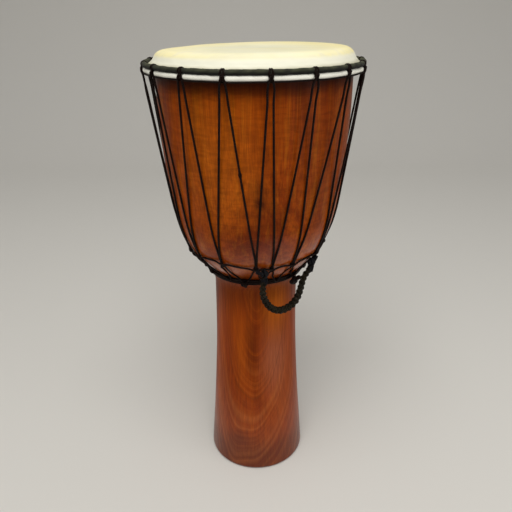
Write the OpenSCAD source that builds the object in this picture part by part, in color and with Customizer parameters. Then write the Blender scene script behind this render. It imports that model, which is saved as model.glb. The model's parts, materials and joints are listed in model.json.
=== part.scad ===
// Djembe: a goblet-shaped wooden drum with a rope-tensioned hide head.
// Millimetres, +Z up, origin on the floor at the drum's axis, front towards -Y.

/* [Shell] */
// Overall height, floor to the top of the skin
drum_h = 600; // [570:1:660]
// Diameter of the foot at the floor
foot_d = 142; // [132:1:150]
// Diameter of the neck, the narrowest part of the stem
neck_d = 114; // [108:1:118]
// Height of the neck
neck_h = 292; // [270:1:298]
// Diameter of the bowl's underside where the cradle starts
under_d = 144; // [138:1:150]
// Height of that place on the underside, from the neck up
under_h = 36; // [30:1:42]
// Diameter of the bowl at its shoulder
shoulder_d = 217; // [208:1:222]
// Height of the shoulder
shoulder_h = 414; // [404:1:424]
// Diameter of the shell at the rim
rim_d = 238; // [232:1:240]
// Radius of the rounded bearing edge
rim_round = 12; // [9:0.5:13]
// Radius of the rounded foot edge
foot_round = 4; // [2:0.5:6]
// Thickness of the bowl's wall
bowl_wall = 15; // [11:0.5:18]
// Diameter of the bore through the stem
bore_d = 88; // [76:1:92]
// Diameter of the bore's mouth in the foot
mouth_d = 112; // [94:1:116]

/* [Head] */
// Thickness of the skin
skin_t = 1; // [0.6:0.1:1.4]
// Gap between the rim and the wrapped crown ring
ring_gap = 7.6; // [6.8:0.2:11]
// Thickness of the crown ring with its cloth wrap
crown_wrap_d = 6.8; // [6:0.2:8]
// Thickness of the crown ring's steel rod
crown_rod_d = 4.4; // [3:0.2:5]
// Depth of the crown ring below the top of the skin
crown_drop = 16.2; // [15:0.2:20]
// How far the flesh ring, which the skin is rolled on, lies inside the crown ring
flesh_inset = 2; // [1:0.1:3]
// Thickness of the flesh ring's rod
flesh_rod_d = 3; // [2:0.2:4]
// Thickness of the black ring under the rolled skin
under_ring_d = 2; // [1.6:0.1:3]

/* [Lacing] */
// Number of hitches on the crown ring
hitches = 17; // [14:1:18]
// Angle of the first hitch, from the front towards the right
first_hitch = 7.3; // [0:0.1:20]
// Thickness of the tuning rope
rope_d = 3; // [2.4:0.1:3.4]
// Thickness of the cord of the crown loops and cradle loops
loop_d = 2.2; // [1.6:0.1:2.4]
// Thickness of the girdle cord
girdle_d = 2.2; // [1.6:0.1:3]
// Thickness of each turn of the band round the neck
band_d = 3; // [2.4:0.1:3.2]
// Number of turns in that band
band_turns = 3; // [2:1:3]

/* [Handle] */
// Thickness of the braided carrying handle
handle_d = 8; // [7:0.5:10]
// Thickness of the cord stub in each lashing, which an eye of the handle turns on
stub_d = 4.8; // [4:0.2:5.4]
// Thickness of the cord of the handle's eyes
eye_cord_d = 3.6; // [3:0.2:4]

/* [Hidden] */
// Clearance between pieces that lie on each other
seat_gap = 0.2;
// Clearance of cords and of what turns
cord_gap = 0.3;
// Clearance of the tuning rope along the curve of the bowl
hug_gap = 0.5;
$fn = 96;

pitch = 360 / hitches;
rope_r = rope_d / 2;
loop_r = loop_d / 2;
band_r = band_d / 2;

// How far the rope's turning point at each cradle loop is off the middle, hand laced
tip_shift = [-4.8, -8.2, -2.3, 2, -3, 1, -2, 3.5, -1.5, 2.5, -3.5, 1.5, -1, 3, -5.3, -0.7, 3.6];

function hitch_angle(i) = first_hitch + i * pitch;
function mid_angle(i) = first_hitch + (i + 0.5) * pitch;
function tip_angle(i) = mid_angle(i) + tip_shift[(i + hitches) % len(tip_shift)];
function two_digits(i) = str(i < 10 ? "0" : "", i);
function loop_name(kind, i) = str(kind, "_loop_", two_digits(i + 1));

// Colours of the materials
wood_colour = [0.5, 0.2, 0.08];
hide_colour = [0.9, 0.84, 0.68];
cloth_colour = [0.07, 0.07, 0.07];
rope_colour = [0.05, 0.05, 0.05];
braid_colour = [0.1, 0.1, 0.08];
steel_colour = [0.6, 0.6, 0.62];

// A point given by its angle from the front, its distance from the axis and its height
function place(angle, r, z) = [r * sin(angle), -r * cos(angle), z];
function unit(v) = v / norm(v);
function mix(a, b, t) = a + (b - a) * t;
function reversed(p) = [for (i = [len(p) - 1 : -1 : 0]) p[i]];

// Cubic Bezier curve through four points of [radius, height]
function bezier(p, t) = let (s = 1 - t)
    s * s * s * p[0] + 3 * s * s * t * p[1] + 3 * s * t * t * p[2] + t * t * t * p[3];
function bezier_slope(p, t) = let (s = 1 - t)
    3 * (s * s * (p[1] - p[0]) + 2 * s * t * (p[2] - p[1]) + t * t * (p[3] - p[2]));
function curve(p, steps) = [for (i = [0 : steps]) bezier(p, i / steps)];
function arc(centre, r, from, to, steps) =
    [for (i = [0 : steps]) let (a = mix(from, to, i / steps)) centre + r * [cos(a), sin(a)]];

// Outline of the shell, from the foot up to the bearing edge
foot_r = foot_d / 2;
neck_r = neck_d / 2;
under_r = under_d / 2;
under_z = neck_h + under_h;
shoulder_r = shoulder_d / 2;
rim_r = rim_d / 2;
shell_h = drum_h - skin_t - seat_gap;
crest_r = 2;
edge_r = min(rim_round, bowl_wall - crest_r - 0.5);
rim_centre = [rim_r - edge_r, shell_h - edge_r];
// Depth below the top of the shell at which the upper wall is upright, and starts to be
upright_depth = 34;
upright_lead = 100;
// Directions of the outline at three places, and how long each pulls it to either side
foot_slope = [-7, 100];
under_slope = [22, 22.5];
under_pull = [0.42, 1.05];
shoulder_slope = [4.5, 32];
shoulder_pull = [1, 1.4];
inner_pull = 1.5;
// How far the neck stays upright below and above its narrowest place
neck_below = 120;
neck_above = 16;

stem_curve = [[foot_r, foot_round], [foot_r, foot_round] + foot_slope,
              [neck_r, neck_h - neck_below], [neck_r, neck_h]];
underside_curve = [[neck_r, neck_h], [neck_r, neck_h + neck_above],
                   [under_r, under_z] - under_slope * under_pull[0], [under_r, under_z]];
shoulder_curve = [[under_r, under_z], [under_r, under_z] + under_slope * under_pull[1],
                  [shoulder_r, shoulder_h] - shoulder_slope * shoulder_pull[0], [shoulder_r, shoulder_h]];
wall_curve = [[shoulder_r, shoulder_h], [shoulder_r, shoulder_h] + shoulder_slope * shoulder_pull[1],
              [rim_r, shell_h - upright_lead], [rim_r, shell_h - upright_depth]];

// The bowl's outside as one curve: 0 to 1 underside, 1 to 2 shoulder, 2 to 3 upper wall
bowl_curves = [underside_curve, shoulder_curve, wall_curve];
function bowl_part(u) = min(floor(u), 2);
function bowl_at(u) = bezier(bowl_curves[bowl_part(u)], u - bowl_part(u));
function bowl_slope(u) = bezier_slope(bowl_curves[bowl_part(u)], u - bowl_part(u));
function bowl_out(u) = let (s = unit(bowl_slope(u))) [s[1], -s[0]];
function bowl_step(u, distance) = u + distance / norm(bowl_slope(u));
function off_bowl(u, offset) = bowl_at(u) + offset * bowl_out(u);
function on_bowl(angle, u, offset) = let (p = off_bowl(u, offset)) place(angle, p[0], p[1]);

// Inside of the shell
bore_r = bore_d / 2;
mouth_r = mouth_d / 2;
// Height of the flared mouth, its flare at a third of that, and the bore's top below the neck
mouth_h = 90;
mouth_flare = 5;
bore_top = neck_h - 8;
bore_above = 34;
inner_shift = [-bowl_wall, 0];
inner_shoulder = [shoulder_r, shoulder_h] + inner_shift;
mouth_curve = [[mouth_r, 0], [mouth_r - mouth_flare, mouth_h / 3],
               [bore_r, mouth_h * 2 / 3], [bore_r, mouth_h]];
inner_bowl_curve = [[bore_r, bore_top], [bore_r, bore_top + bore_above],
                    inner_shoulder - shoulder_slope * inner_pull, inner_shoulder];
inner_wall_curve = [for (p = wall_curve) p + inner_shift];

// Head: skin over the bearing edge, flared out to the flesh ring and rolled round it
crown_tube_r = crown_wrap_d / 2;
crown_r = rim_r + ring_gap + crown_tube_r;
crown_z = drum_h - crown_drop;
flesh_r = crown_r - flesh_inset;
flesh_rod_r = flesh_rod_d / 2;
roll_r = flesh_rod_r + seat_gap + skin_t;
hitch_step = 46;
hitch_r = (crown_tube_r + seat_gap + loop_r) / cos(hitch_step / 2);
flesh_z = crown_z - hitch_r - loop_r - seat_gap - roll_r;
under_ring_r = under_ring_d / 2;
under_ring_z = flesh_z - roll_r - seat_gap - under_ring_r;
roll_outer = flesh_r + roll_r;

// Middle line of the skin, from the axis out to the end of the roll
skin_arc_r = edge_r + seat_gap + skin_t / 2;
roll_line_r = flesh_rod_r + seat_gap + skin_t / 2;
roll_centre = [flesh_r, flesh_z];
roll_from = 150;
roll_to = 430;
skin_drop = 5;
skin_flare = [-7, 6];
skin_edge = rim_centre + [skin_arc_r, 0];
skin_line = concat(
    [[0, drum_h - skin_t / 2]],
    arc(rim_centre, skin_arc_r, 90, 0, 10),
    curve([skin_edge, skin_edge - [0, skin_drop], roll_centre + skin_flare,
           roll_centre + roll_line_r * [cos(roll_from), sin(roll_from)]], 8),
    arc(roll_centre, roll_line_r, roll_from + 30, roll_to, 16));
function line_out(p, i) = let (
    t = unit(p[min(i + 1, len(p) - 1)] - p[max(i - 1, 0)])) i == 0 ? [0, 1] : [-t[1], t[0]];
function beside(p, offset) = [for (i = [0 : len(p) - 1]) p[i] + offset * line_out(p, i)];

// Crown loops: a cow hitch on the crown ring, linked below with the tuning rope
hitch_start = -32;
link_half = 2.25;
link_amp = (rope_r + loop_r) / 2 + cord_gap;
link_depth = 2.5;
// Side of a turn in a link, from its open end to its bend, in shares of its half width and depth
link_side = [[1.42, 1.1], [1, 0.1], [0.7, -0.75]];
crown_link_drop = 1.5;
crown_link_z = flesh_z - crown_link_drop;
crown_link_r = roll_outer + cord_gap + rope_r + link_amp;
hitch_half = loop_d + 4 * seat_gap;
hitch_leg = loop_r + 2 * seat_gap;
leg_out = 0.6;

// Cradle: links of rope and cradle loops, girdle above them and band below
cradle_link_u = 1.27;
cradle_link_off = cord_gap + rope_r + link_amp;
girdle_rise = 9.5;
girdle_u = bowl_step(cradle_link_u, girdle_rise);
girdle_r = girdle_d / 2;
girdle_off = hug_gap + rope_d + cord_gap + girdle_r;
band_u = 0.75;
band_off = seat_gap + band_r;
band_half = band_turns * (band_d + seat_gap) / 2;
over_band = band_off + band_r + seat_gap + loop_r;
foot_spread = 0.36;
function foot_angle(i, side) = mid_angle(i) + side * foot_spread * pitch;

// Carrying handle: eyes on the stubs of two lashings, which share one level axis
left_tip = -1;
right_tip = 2;
stub_r = stub_d / 2;
eye_cord_r = eye_cord_d / 2;
eye_r = stub_r + cord_gap + eye_cord_r;
eye_outer = eye_r + eye_cord_r;
lash_cord_r = 1.6;
lash_half = eye_cord_r + cord_gap + 2 * lash_cord_r;
lash_outer = stub_r + 1.25 * lash_cord_r;
lash_u = 1.24;
lash_spot = off_bowl(lash_u, eye_outer + cord_gap);
lash_turn = 6.4;
left_angle = tip_angle(left_tip) + lash_turn;
right_angle = tip_angle(right_tip) - lash_turn;
handle_angle = (left_angle + right_angle) / 2;
eye_left = place(left_angle, lash_spot[0], lash_spot[1]);
eye_right = place(right_angle, lash_spot[0], lash_spot[1]);
handle_along = [cos(handle_angle), sin(handle_angle), 0];

// Route of the handle's middle line: distance along from the left eye, height above the eyes' underside
handle_route = [
    [0.2, -0.7], [-0.5, -5], [-1.4, -9], [-2, -13], [-2.2, -17], [-1.8, -21.4], [-0.8, -26], [0.9, -30.6],
    [3.3, -35.2], [6.7, -40], [11.3, -44.6], [16.4, -48], [22, -50.2], [28, -51], [34.6, -50.1],
    [40.4, -47.9], [45.2, -44.8], [48.7, -41.2], [51.1, -37.2], [52.9, -32.8], [54.3, -28.6],
    [55.6, -24.2], [56.9, -19.4], [58.4, -14.8], [60.6, -10.8], [63.7, -7.5], [66.8, -4.5], [69.2, -0.9]];

// Frames along a line of points, carried on without turning about the line
function next_point(p, i, closed) = closed ? p[(i + 1) % len(p)] : p[min(i + 1, len(p) - 1)];
function last_point(p, i, closed) = closed ? p[(i + len(p) - 1) % len(p)] : p[max(i - 1, 0)];
function tangents(p, closed) =
    [for (i = [0 : len(p) - 1]) unit(next_point(p, i, closed) - last_point(p, i, closed))];
function square_to(v, t) = unit(v - (v * t) * t);
function any_square(t) = square_to(abs(t[2]) < 0.8 ? [0, 0, 1] : [1, 0, 0], t);
function carried(t) = [for (i = 0, n = any_square(t[0]); i < len(t);
    i = i + 1, n = i < len(t) ? square_to(n, t[i]) : n) n];
function turn_between(a, b, t) = atan2(cross(a, b) * t, a * b);

// Rings of a round cord; on a closed one the leftover turn is shared out along it
function cord_rings(p, r, sides, closed) = let (
    t = tangents(p, closed),
    n = carried(t),
    last = square_to(n[len(n) - 1], t[0]),
    left_over = closed ? turn_between(last, n[0], t[0]) : 0)
    [for (i = [0 : len(p) - 1]) let (b = cross(t[i], n[i]), twist = left_over * i / len(p))
        for (k = [0 : sides - 1]) let (a = 360 * k / sides + twist)
            p[i] + r * (cos(a) * n[i] + sin(a) * b)];

module cord(p, r, sides = 8, closed = false) {
    count = len(p);
    spans = closed ? count : count - 1;
    side_faces = [for (i = [0 : spans - 1], k = [0 : sides - 1])
        let (near = i * sides, far = (i + 1) % count * sides, m = (k + 1) % sides)
            each [[near + k, far + k, far + m], [near + k, far + m, near + m]]];
    ends = closed ? [] : [
        [for (k = [0 : sides - 1]) k],
        [for (k = [sides - 1 : -1 : 0]) (count - 1) * sides + k]];
    polyhedron(cord_rings(p, r, sides, closed), concat(side_faces, ends), convexity = 8);
}

module ring(major, z, r) {
    translate([0, 0, z]) rotate_extrude() translate([major, 0]) circle(r);
}

module shell() {
    color(wood_colour) rotate_extrude() polygon(concat(
        arc([foot_r - foot_round, foot_round], foot_round, -90, 0, 6),
        curve(stem_curve, 14),
        curve(underside_curve, 10),
        curve(shoulder_curve, 14),
        curve(wall_curve, 12),
        arc(rim_centre, edge_r, 0, 90, 8),
        arc([rim_r - bowl_wall + crest_r, shell_h - crest_r], crest_r, 90, 180, 4),
        reversed(curve(inner_wall_curve, 12)),
        reversed(curve(inner_bowl_curve, 14)),
        reversed(curve(mouth_curve, 10))));
}

module drum_skin() {
    upper = beside(skin_line, skin_t / 2);
    lower = beside(skin_line, -skin_t / 2);
    color(hide_colour) rotate_extrude() polygon(concat(
        upper, reversed(lower)));
}

module flesh_ring() {
    color(steel_colour) ring(flesh_r, flesh_z, flesh_rod_r);
}

module under_ring() {
    color(cloth_colour) ring(flesh_r, under_ring_z, under_ring_r);
}

module crown_ring() {
    color(steel_colour) ring(crown_r, crown_z, crown_rod_d / 2);
}

module crown_wrap() {
    color(cloth_colour) translate([0, 0, crown_z]) rotate_extrude() translate([crown_r, 0])
        difference() {
            circle(crown_tube_r);
            circle(crown_rod_d / 2 + seat_gap / 2);
        }
}

// A point beside a hitch: across it, out from the axis, and height
function by_hitch(angle, across, r, z) = place(angle, r, z) + across * [cos(angle), sin(angle), 0];
function tilt(across) = link_amp * max(-1, min(1, across / link_half));

// Half of a crown loop's line, from the bar in front round the ring and down to the link
function crown_half(angle, side) = concat(
    [for (k = [0 : 6]) let (turn = hitch_start + k * hitch_step,
                            across = mix(hitch_half, hitch_leg, max(0, k - 2) / 4))
        by_hitch(angle, side * across, crown_r + hitch_r * cos(turn), crown_z + hitch_r * sin(turn))],
    [by_hitch(angle, side * hitch_leg, crown_r + leg_out, crown_z - hitch_r)],
    [for (p = link_side) by_hitch(angle, side * p[0] * link_half,
        crown_link_r + tilt(side * p[0] * link_half), crown_link_z + p[1] * link_depth)]);

module crown_loop(i) {
    a = hitch_angle(i);
    right = crown_half(a, 1);
    left = crown_half(a, -1);
    bottom = by_hitch(a, 0, crown_link_r, crown_link_z - link_depth);
    bar_r = crown_r + hitch_r * cos(hitch_start) + seat_gap;
    bar = by_hitch(a, 0, bar_r, crown_z + hitch_r * sin(hitch_start));
    color(rope_colour) cord(concat([bar], right, [bottom], reversed(left)), loop_r, 6, true);
}

// Places of the rope on the bowl, from the cradle link up to where it leaves the wall
hug_start = 6.5;
hug_us = [bowl_step(cradle_link_u, hug_start), 1.45, 1.55, 1.68, 1.83, 2, 2.2, 2.45];
leave_drop = 8;
leave_r = roll_outer + cord_gap;
leave_z = crown_link_z - leave_drop;

// One strand, from the cradle link up to the crown link
function strand(low_angle, high_angle, side) = let (
    low_z = bowl_at(cradle_link_u)[1],
    half = link_side[0][0] * link_half,
    low_turn = half / bowl_at(cradle_link_u)[0] * 180 / PI,
    high_turn = half / crown_r * 180 / PI,
    from = low_angle + side * low_turn,
    to = high_angle - side * high_turn)
    concat(
        [for (u = hug_us) let (share = (bowl_at(u)[1] - low_z) / (crown_link_z - low_z))
            on_bowl(mix(from, to, share), u, rope_r + hug_gap)],
        [place(mix(from, to, (leave_z - low_z) / (crown_link_z - low_z)), leave_r, leave_z)]);

// A whole turn in a link, from its left side to its right one, with the bend at the bottom
link_turn = concat([for (p = link_side) [-p[0], p[1]]], [[0, -1]], reversed(link_side));

// Turn of the rope through a crown loop, from its left strand to its right one
function crown_turn(angle) = [
    for (p = link_turn) by_hitch(angle, p[0] * link_half, crown_link_r - tilt(p[0] * link_half),
                                 crown_link_z - p[1] * link_depth)];

// Turn of the rope, or of a cradle loop upside down, through their link on the bowl
function cradle_turn(angle, up) = [
    for (p = link_turn)
        let (across = p[0] * link_half,
             u = bowl_step(cradle_link_u, up * p[1] * link_depth),
             spot = off_bowl(u, cradle_link_off + up * tilt(across)))
            by_hitch(angle, across, spot[0], spot[1])];

module tuning_rope() {
    route = [for (i = [0 : hitches - 1]) each concat(
        crown_turn(hitch_angle(i)),
        reversed(strand(tip_angle(i), hitch_angle(i), -1)),
        cradle_turn(tip_angle(i), 1),
        strand(tip_angle(i), hitch_angle(i + 1), 1))];
    color(rope_colour) cord(route, rope_r, 8, true);
}

// One leg of a cradle loop, from its link down over the band and in below it. Each point of it is
// a distance up the bowl from the band's middle, or down from the link at its start, and a share
// of its lift over the band.
leg_line = [[band_half + 5.2, 0.12], [band_half + 2.6, 0.5], [band_half + 0.3, 1], [0, 1.05],
            [-band_half - 0.3, 1], [-band_half - 2.4, 0.5], [-band_half - 3.4, 0]];
leg_start = [11.5, 0.3];
leg_us = concat([[bowl_step(cradle_link_u, -leg_start[0]), leg_start[1]]],
                [for (p = leg_line) [bowl_step(band_u, p[0]), p[1]]]);
function cradle_leg(i, side) = let (
    lift = loop_r + cord_gap,
    half = link_side[0][0] * link_half,
    from = tip_angle(i) + side * half / bowl_at(cradle_link_u)[0] * 180 / PI,
    to = foot_angle(i, side))
    [for (p = leg_us) on_bowl(mix(from, to, min(1, (cradle_link_u - p[0]) / (cradle_link_u - band_u))),
                                p[0], mix(lift, over_band, p[1]))];

module cradle_loop(i) {
    color(rope_colour) cord(concat(
        reversed(cradle_leg(i, -1)), cradle_turn(tip_angle(i), -1), cradle_leg(i, 1)),
        loop_r, 6);
}

module neck_band() {
    color(rope_colour) for (k = [0 : band_turns - 1]) {
        spot = off_bowl(bowl_step(band_u, (k - (band_turns - 1) / 2) * (band_d + seat_gap)), band_off);
        ring(spot[0], spot[1], band_r);
    }
}

module girdle_cord() {
    spot = off_bowl(girdle_u, girdle_off);
    color(rope_colour) ring(spot[0], spot[1], girdle_r);
}

// Moves a shape that lies round the Z axis onto the handle's axis
module on_axis(spot) {
    translate(spot) rotate([0, 0, handle_angle]) rotate([0, 90, 0]) children();
}

module carry_handle() {
    color(braid_colour) cord(
        [for (p = handle_route) eye_left + p[0] * handle_along + [0, 0, p[1] - eye_outer]], handle_d / 2, 10);
}

module handle_eye(spot) {
    color(braid_colour) on_axis(spot) rotate_extrude() translate([eye_r, 0]) circle(eye_cord_r);
}

// Stub between two turns of cord
module handle_lashing(spot) {
    turn_mid = lash_half - lash_cord_r;
    turn_r = lash_outer - lash_cord_r;
    color(rope_colour) on_axis(spot) rotate_extrude() polygon(concat(
        [[0, -lash_half], [turn_r, -lash_half]],
        arc([turn_r, -turn_mid], lash_cord_r, -60, 60, 8),
        [[stub_r, -turn_mid + lash_cord_r], [stub_r, turn_mid - lash_cord_r]],
        arc([turn_r, turn_mid], lash_cord_r, -60, 60, 8),
        [[turn_r, lash_half], [0, lash_half]]));
}

// An overhand knot: a trefoil line of cord, flat against what carries it
knot_size = 1.2;
module tail_knot(angle, r) {
    knot = r * knot_size;
    steps = 26;
    spot = off_bowl(band_u, over_band + loop_r + cord_gap + knot + r);
    out = [spot[0] - bowl_at(band_u)[0], spot[1] - bowl_at(band_u)[1]];
    lean = atan2(out[1], out[0]);
    color(rope_colour) rotate([0, 0, angle]) translate([0, -spot[0], spot[1]]) rotate([90 - lean, 0, 0])
        cord([for (k = [0 : steps - 1]) let (t = 360 * k / steps)
            knot * [sin(t) + 2 * sin(2 * t), cos(t) - 2 * cos(2 * t), -sin(3 * t)]], r, 6, true);
}

shell();
drum_skin();
flesh_ring();
under_ring();
crown_ring();
crown_wrap();
for (i = [0 : hitches - 1]) {
    crown_loop(i);
    cradle_loop(i);
}
tuning_rope();
neck_band();
girdle_cord();
carry_handle();
handle_eye(eye_left);  // handle_eye_left
handle_eye(eye_right);  // handle_eye_right
handle_lashing(eye_left);  // handle_lashing_left
handle_lashing(eye_right);  // handle_lashing_right
tail_knot(foot_angle(left_tip, -1), loop_r);  // tail_knot_front
tail_knot(foot_angle(right_tip - 1, 1), rope_r);  // tail_knot_right
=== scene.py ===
"""Looks of a djembe: a turned wooden goblet drum with a rope-tensioned hide head.

The drum stands on its foot at the origin, with its axis on Z and its front towards -Y.
Sizes in the classes are millimetres, and become metres where a mesh is made. Materials
work in metres.
"""
from __future__ import annotations

import json
import logging
import math
from dataclasses import dataclass, field
from enum import Enum
from typing import Callable, Dict, List, Optional, Sequence, Tuple, Union

import bpy
import numpy as np
from mathutils import Matrix, Vector

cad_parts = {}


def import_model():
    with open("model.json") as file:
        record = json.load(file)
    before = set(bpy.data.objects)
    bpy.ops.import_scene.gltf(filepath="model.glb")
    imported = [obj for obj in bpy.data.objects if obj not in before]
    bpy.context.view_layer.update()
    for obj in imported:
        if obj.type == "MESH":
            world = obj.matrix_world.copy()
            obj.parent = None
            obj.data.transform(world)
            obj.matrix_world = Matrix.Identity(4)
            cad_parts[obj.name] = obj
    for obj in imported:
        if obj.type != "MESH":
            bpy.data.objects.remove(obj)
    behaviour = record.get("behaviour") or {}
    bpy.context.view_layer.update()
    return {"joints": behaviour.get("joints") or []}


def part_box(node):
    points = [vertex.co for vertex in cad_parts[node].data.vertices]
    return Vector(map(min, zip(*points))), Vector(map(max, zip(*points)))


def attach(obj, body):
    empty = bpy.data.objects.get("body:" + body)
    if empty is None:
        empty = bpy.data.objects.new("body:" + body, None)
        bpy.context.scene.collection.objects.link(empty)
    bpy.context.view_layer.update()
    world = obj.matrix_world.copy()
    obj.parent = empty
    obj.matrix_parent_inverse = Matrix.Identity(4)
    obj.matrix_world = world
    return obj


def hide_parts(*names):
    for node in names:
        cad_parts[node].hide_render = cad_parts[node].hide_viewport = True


Array = np.ndarray
Number = Union[float, Array]
Rule = Callable[[Array, Array], Array]
Pair = Tuple[float, float]
Point = Tuple[float, float, float]
Colour = Point
Floats = Tuple[float, ...]
Pairs = Tuple[Pair, ...]
Socket = bpy.types.NodeSocket
Value = Union[float, Sequence[float], Socket]
Material = bpy.types.Material
Piece = bpy.types.Object
Tree = bpy.types.NodeTree

MM = 0.001
TURN = 2 * math.pi
UP = np.array([0.0, 0.0, 1.0])
SPAN_STEPS = 24
log = logging.getLogger("djembe")


class Body(Enum):
    """The bodies of the frame that a piece can ride on."""

    DRUM = "drum"
    HANDLE = "carry_handle"


class Slot(Enum):
    """The material slots of the record."""

    WOOD = "varnished_wood"
    HIDE = "hide"
    CLOTH = "black_cloth"
    ROPE = "black_rope"
    BRAID = "braid"
    STEEL = "steel_rod"


class Side(Enum):
    """Left or right of a middle line, as a sign."""

    LEFT = -1
    RIGHT = 1


def display(red: int, green: int, blue: int) -> Colour:
    """A colour given as it looks on a screen, 0 to 255, as linear light by the sRGB curve."""
    share = np.array([red, green, blue]) / 255
    linear = np.where(share <= 0.04045, share / 12.92, ((share + 0.055) / 1.055) ** 2.4)
    return tuple(float(x) for x in linear)


def unit(vectors: Array) -> Array:
    """The vectors at length one."""
    return vectors / np.maximum(np.linalg.norm(vectors, axis=-1, keepdims=True), 1e-12)


def dot(a: Array, b: Array) -> Array:
    """Dot products along the last axis, kept as a column."""
    return (a * b).sum(-1, keepdims=True)


def around(angle: Number, radius: Number, height: Number) -> Array:
    """Points given by their angle from the front towards the right, in degrees.

    Args:
        angle: Angle about the drum's axis.
        radius: Distance from that axis.
        height: Height above the floor.

    Returns:
        Points (r sin a, -r cos a, z) along the last axis.
    """
    turn = np.radians(angle)
    return np.stack(np.broadcast_arrays(
        radius * np.sin(turn), -radius * np.cos(turn), height), axis=-1).astype(float)


def ripples(turn: Array, *waves: Tuple[float, int, Number]) -> Array:
    """A sum of sine waves about an axis, each given by its height, its count and its phase."""
    return sum(height * np.sin(count * turn + phase) for height, count, phase in waves)


def bezier(points: Sequence[Sequence[float]], t: Array) -> Array:
    """Points of a cubic Bezier curve, (1-t)^3 a + 3(1-t)^2 t b + 3(1-t)t^2 c + t^3 d."""
    a, b, c, d = np.asarray(points, float)
    t = np.asarray(t, float)[..., None]
    s = 1 - t
    return s ** 3 * a + 3 * s * s * t * b + 3 * s * t * t * c + t ** 3 * d


def bezier_slope(points: Sequence[Sequence[float]], t: Array) -> Array:
    """First derivative of a cubic Bezier curve."""
    a, b, c, d = np.asarray(points, float)
    t = np.asarray(t, float)[..., None]
    s = 1 - t
    return 3 * (s * s * (b - a) + 2 * s * t * (c - b) + t * t * (d - c))


def arc(centre: Sequence[float], radii: Sequence[float], start: float, stop: float,
        steps: int) -> Array:
    """Points of an elliptic arc, centre + (a cos t, b sin t), from start to stop degrees."""
    turn = np.radians(np.linspace(start, stop, steps + 1))
    return np.asarray(centre) + np.stack([radii[0] * np.cos(turn), radii[1] * np.sin(turn)], 1)


def lengths_along(path: Array) -> Array:
    """Distance along a path at each of its points."""
    return np.concatenate([[0], np.cumsum(np.linalg.norm(np.diff(path, axis=0), axis=1))])


def evenly(path: Array, step: float) -> Array:
    """The path again with points about step apart."""
    along = lengths_along(path)
    at = np.linspace(0, along[-1], max(3, int(round(along[-1] / step)) + 1))
    return np.stack([np.interp(at, along, path[:, k]) for k in range(path.shape[1])], axis=1)


def smooth_path(points: Array, step: float, closed: bool = False) -> Array:
    """A smooth line through points, sampled evenly.

    Each span is a cubic Hermite curve. Its end slopes are those of the parabola through a
    point and its two neighbours, spaced by their distances.

    Args:
        points: The points, one a row.
        step: Distance between the points that come back.
        closed: Whether the line returns to its start.

    Returns:
        The sampled points. A closed line doesn't repeat its first point.
    """
    knots = np.asarray(points, float)
    if closed:
        padded = np.vstack([knots[-1:], knots, knots[:2]])
    else:
        padded = np.vstack([2 * knots[:1] - knots[1:2], knots, 2 * knots[-1:] - knots[-2:-1]])
    gap = np.linalg.norm(np.diff(padded, axis=0), axis=1)[:, None]
    chord = np.diff(padded, axis=0) / gap
    slope = (chord[1:] * gap[:-1] + chord[:-1] * gap[1:]) / (gap[1:] + gap[:-1])
    start, stop = padded[1:-2], padded[2:-1]
    span = gap[1:-1][:, None]
    t = np.linspace(0, 1, SPAN_STEPS, endpoint=False)[None, :, None]
    line = ((2 * t ** 3 - 3 * t ** 2 + 1) * start[:, None]
            + (3 * t ** 2 - 2 * t ** 3) * stop[:, None]
            + span * ((t ** 3 - 2 * t ** 2 + t) * slope[:-1][:, None]
                      + (t ** 3 - t ** 2) * slope[1:][:, None])).reshape(-1, knots.shape[1])
    even = evenly(np.vstack([line, padded[-2:-1]]), step)
    return even[:-1] if closed else even


def carried_frames(path: Array, closed: bool) -> Tuple[Array, Array, Array]:
    """Directions along a path and two across it that don't turn about it.

    Each point starts with any square direction. The angle between it and its neighbour's,
    carried over without turning, is summed along the path and taken off again.

    Args:
        path: The path's points.
        closed: Whether the path returns to its start, where leftover turn is shared out.

    Returns:
        The tangents, the normals and the binormals.
    """
    if closed:
        tangent = unit(np.roll(path, -1, axis=0) - np.roll(path, 1, axis=0))
    else:
        tangent = unit(np.gradient(path, axis=0))
    pick = np.eye(3)[np.abs(tangent).argmin(axis=1)]
    normal = unit(pick - dot(pick, tangent) * tangent)
    binormal = np.cross(tangent, normal)
    after = np.roll(tangent, -1, axis=0)
    lean = np.cross(tangent, after)
    cosine = dot(tangent, after)
    moved = (normal * cosine + np.cross(lean, normal)
             + lean * dot(lean, normal) / np.maximum(1 + cosine, 1e-6))
    turn = np.arctan2(dot(moved, np.roll(binormal, -1, axis=0)),
                      dot(moved, np.roll(normal, -1, axis=0)))[:, 0]
    total = np.concatenate([[0], np.cumsum(turn)])
    angle = total[:-1]
    if closed:
        left = (total[-1] + math.pi) % TURN - math.pi
        angle = angle - left * np.arange(len(path)) / len(path)
    angle = angle[:, None]
    return (tangent, np.cos(angle) * normal + np.sin(angle) * binormal,
            np.cos(angle) * binormal - np.sin(angle) * normal)


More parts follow.
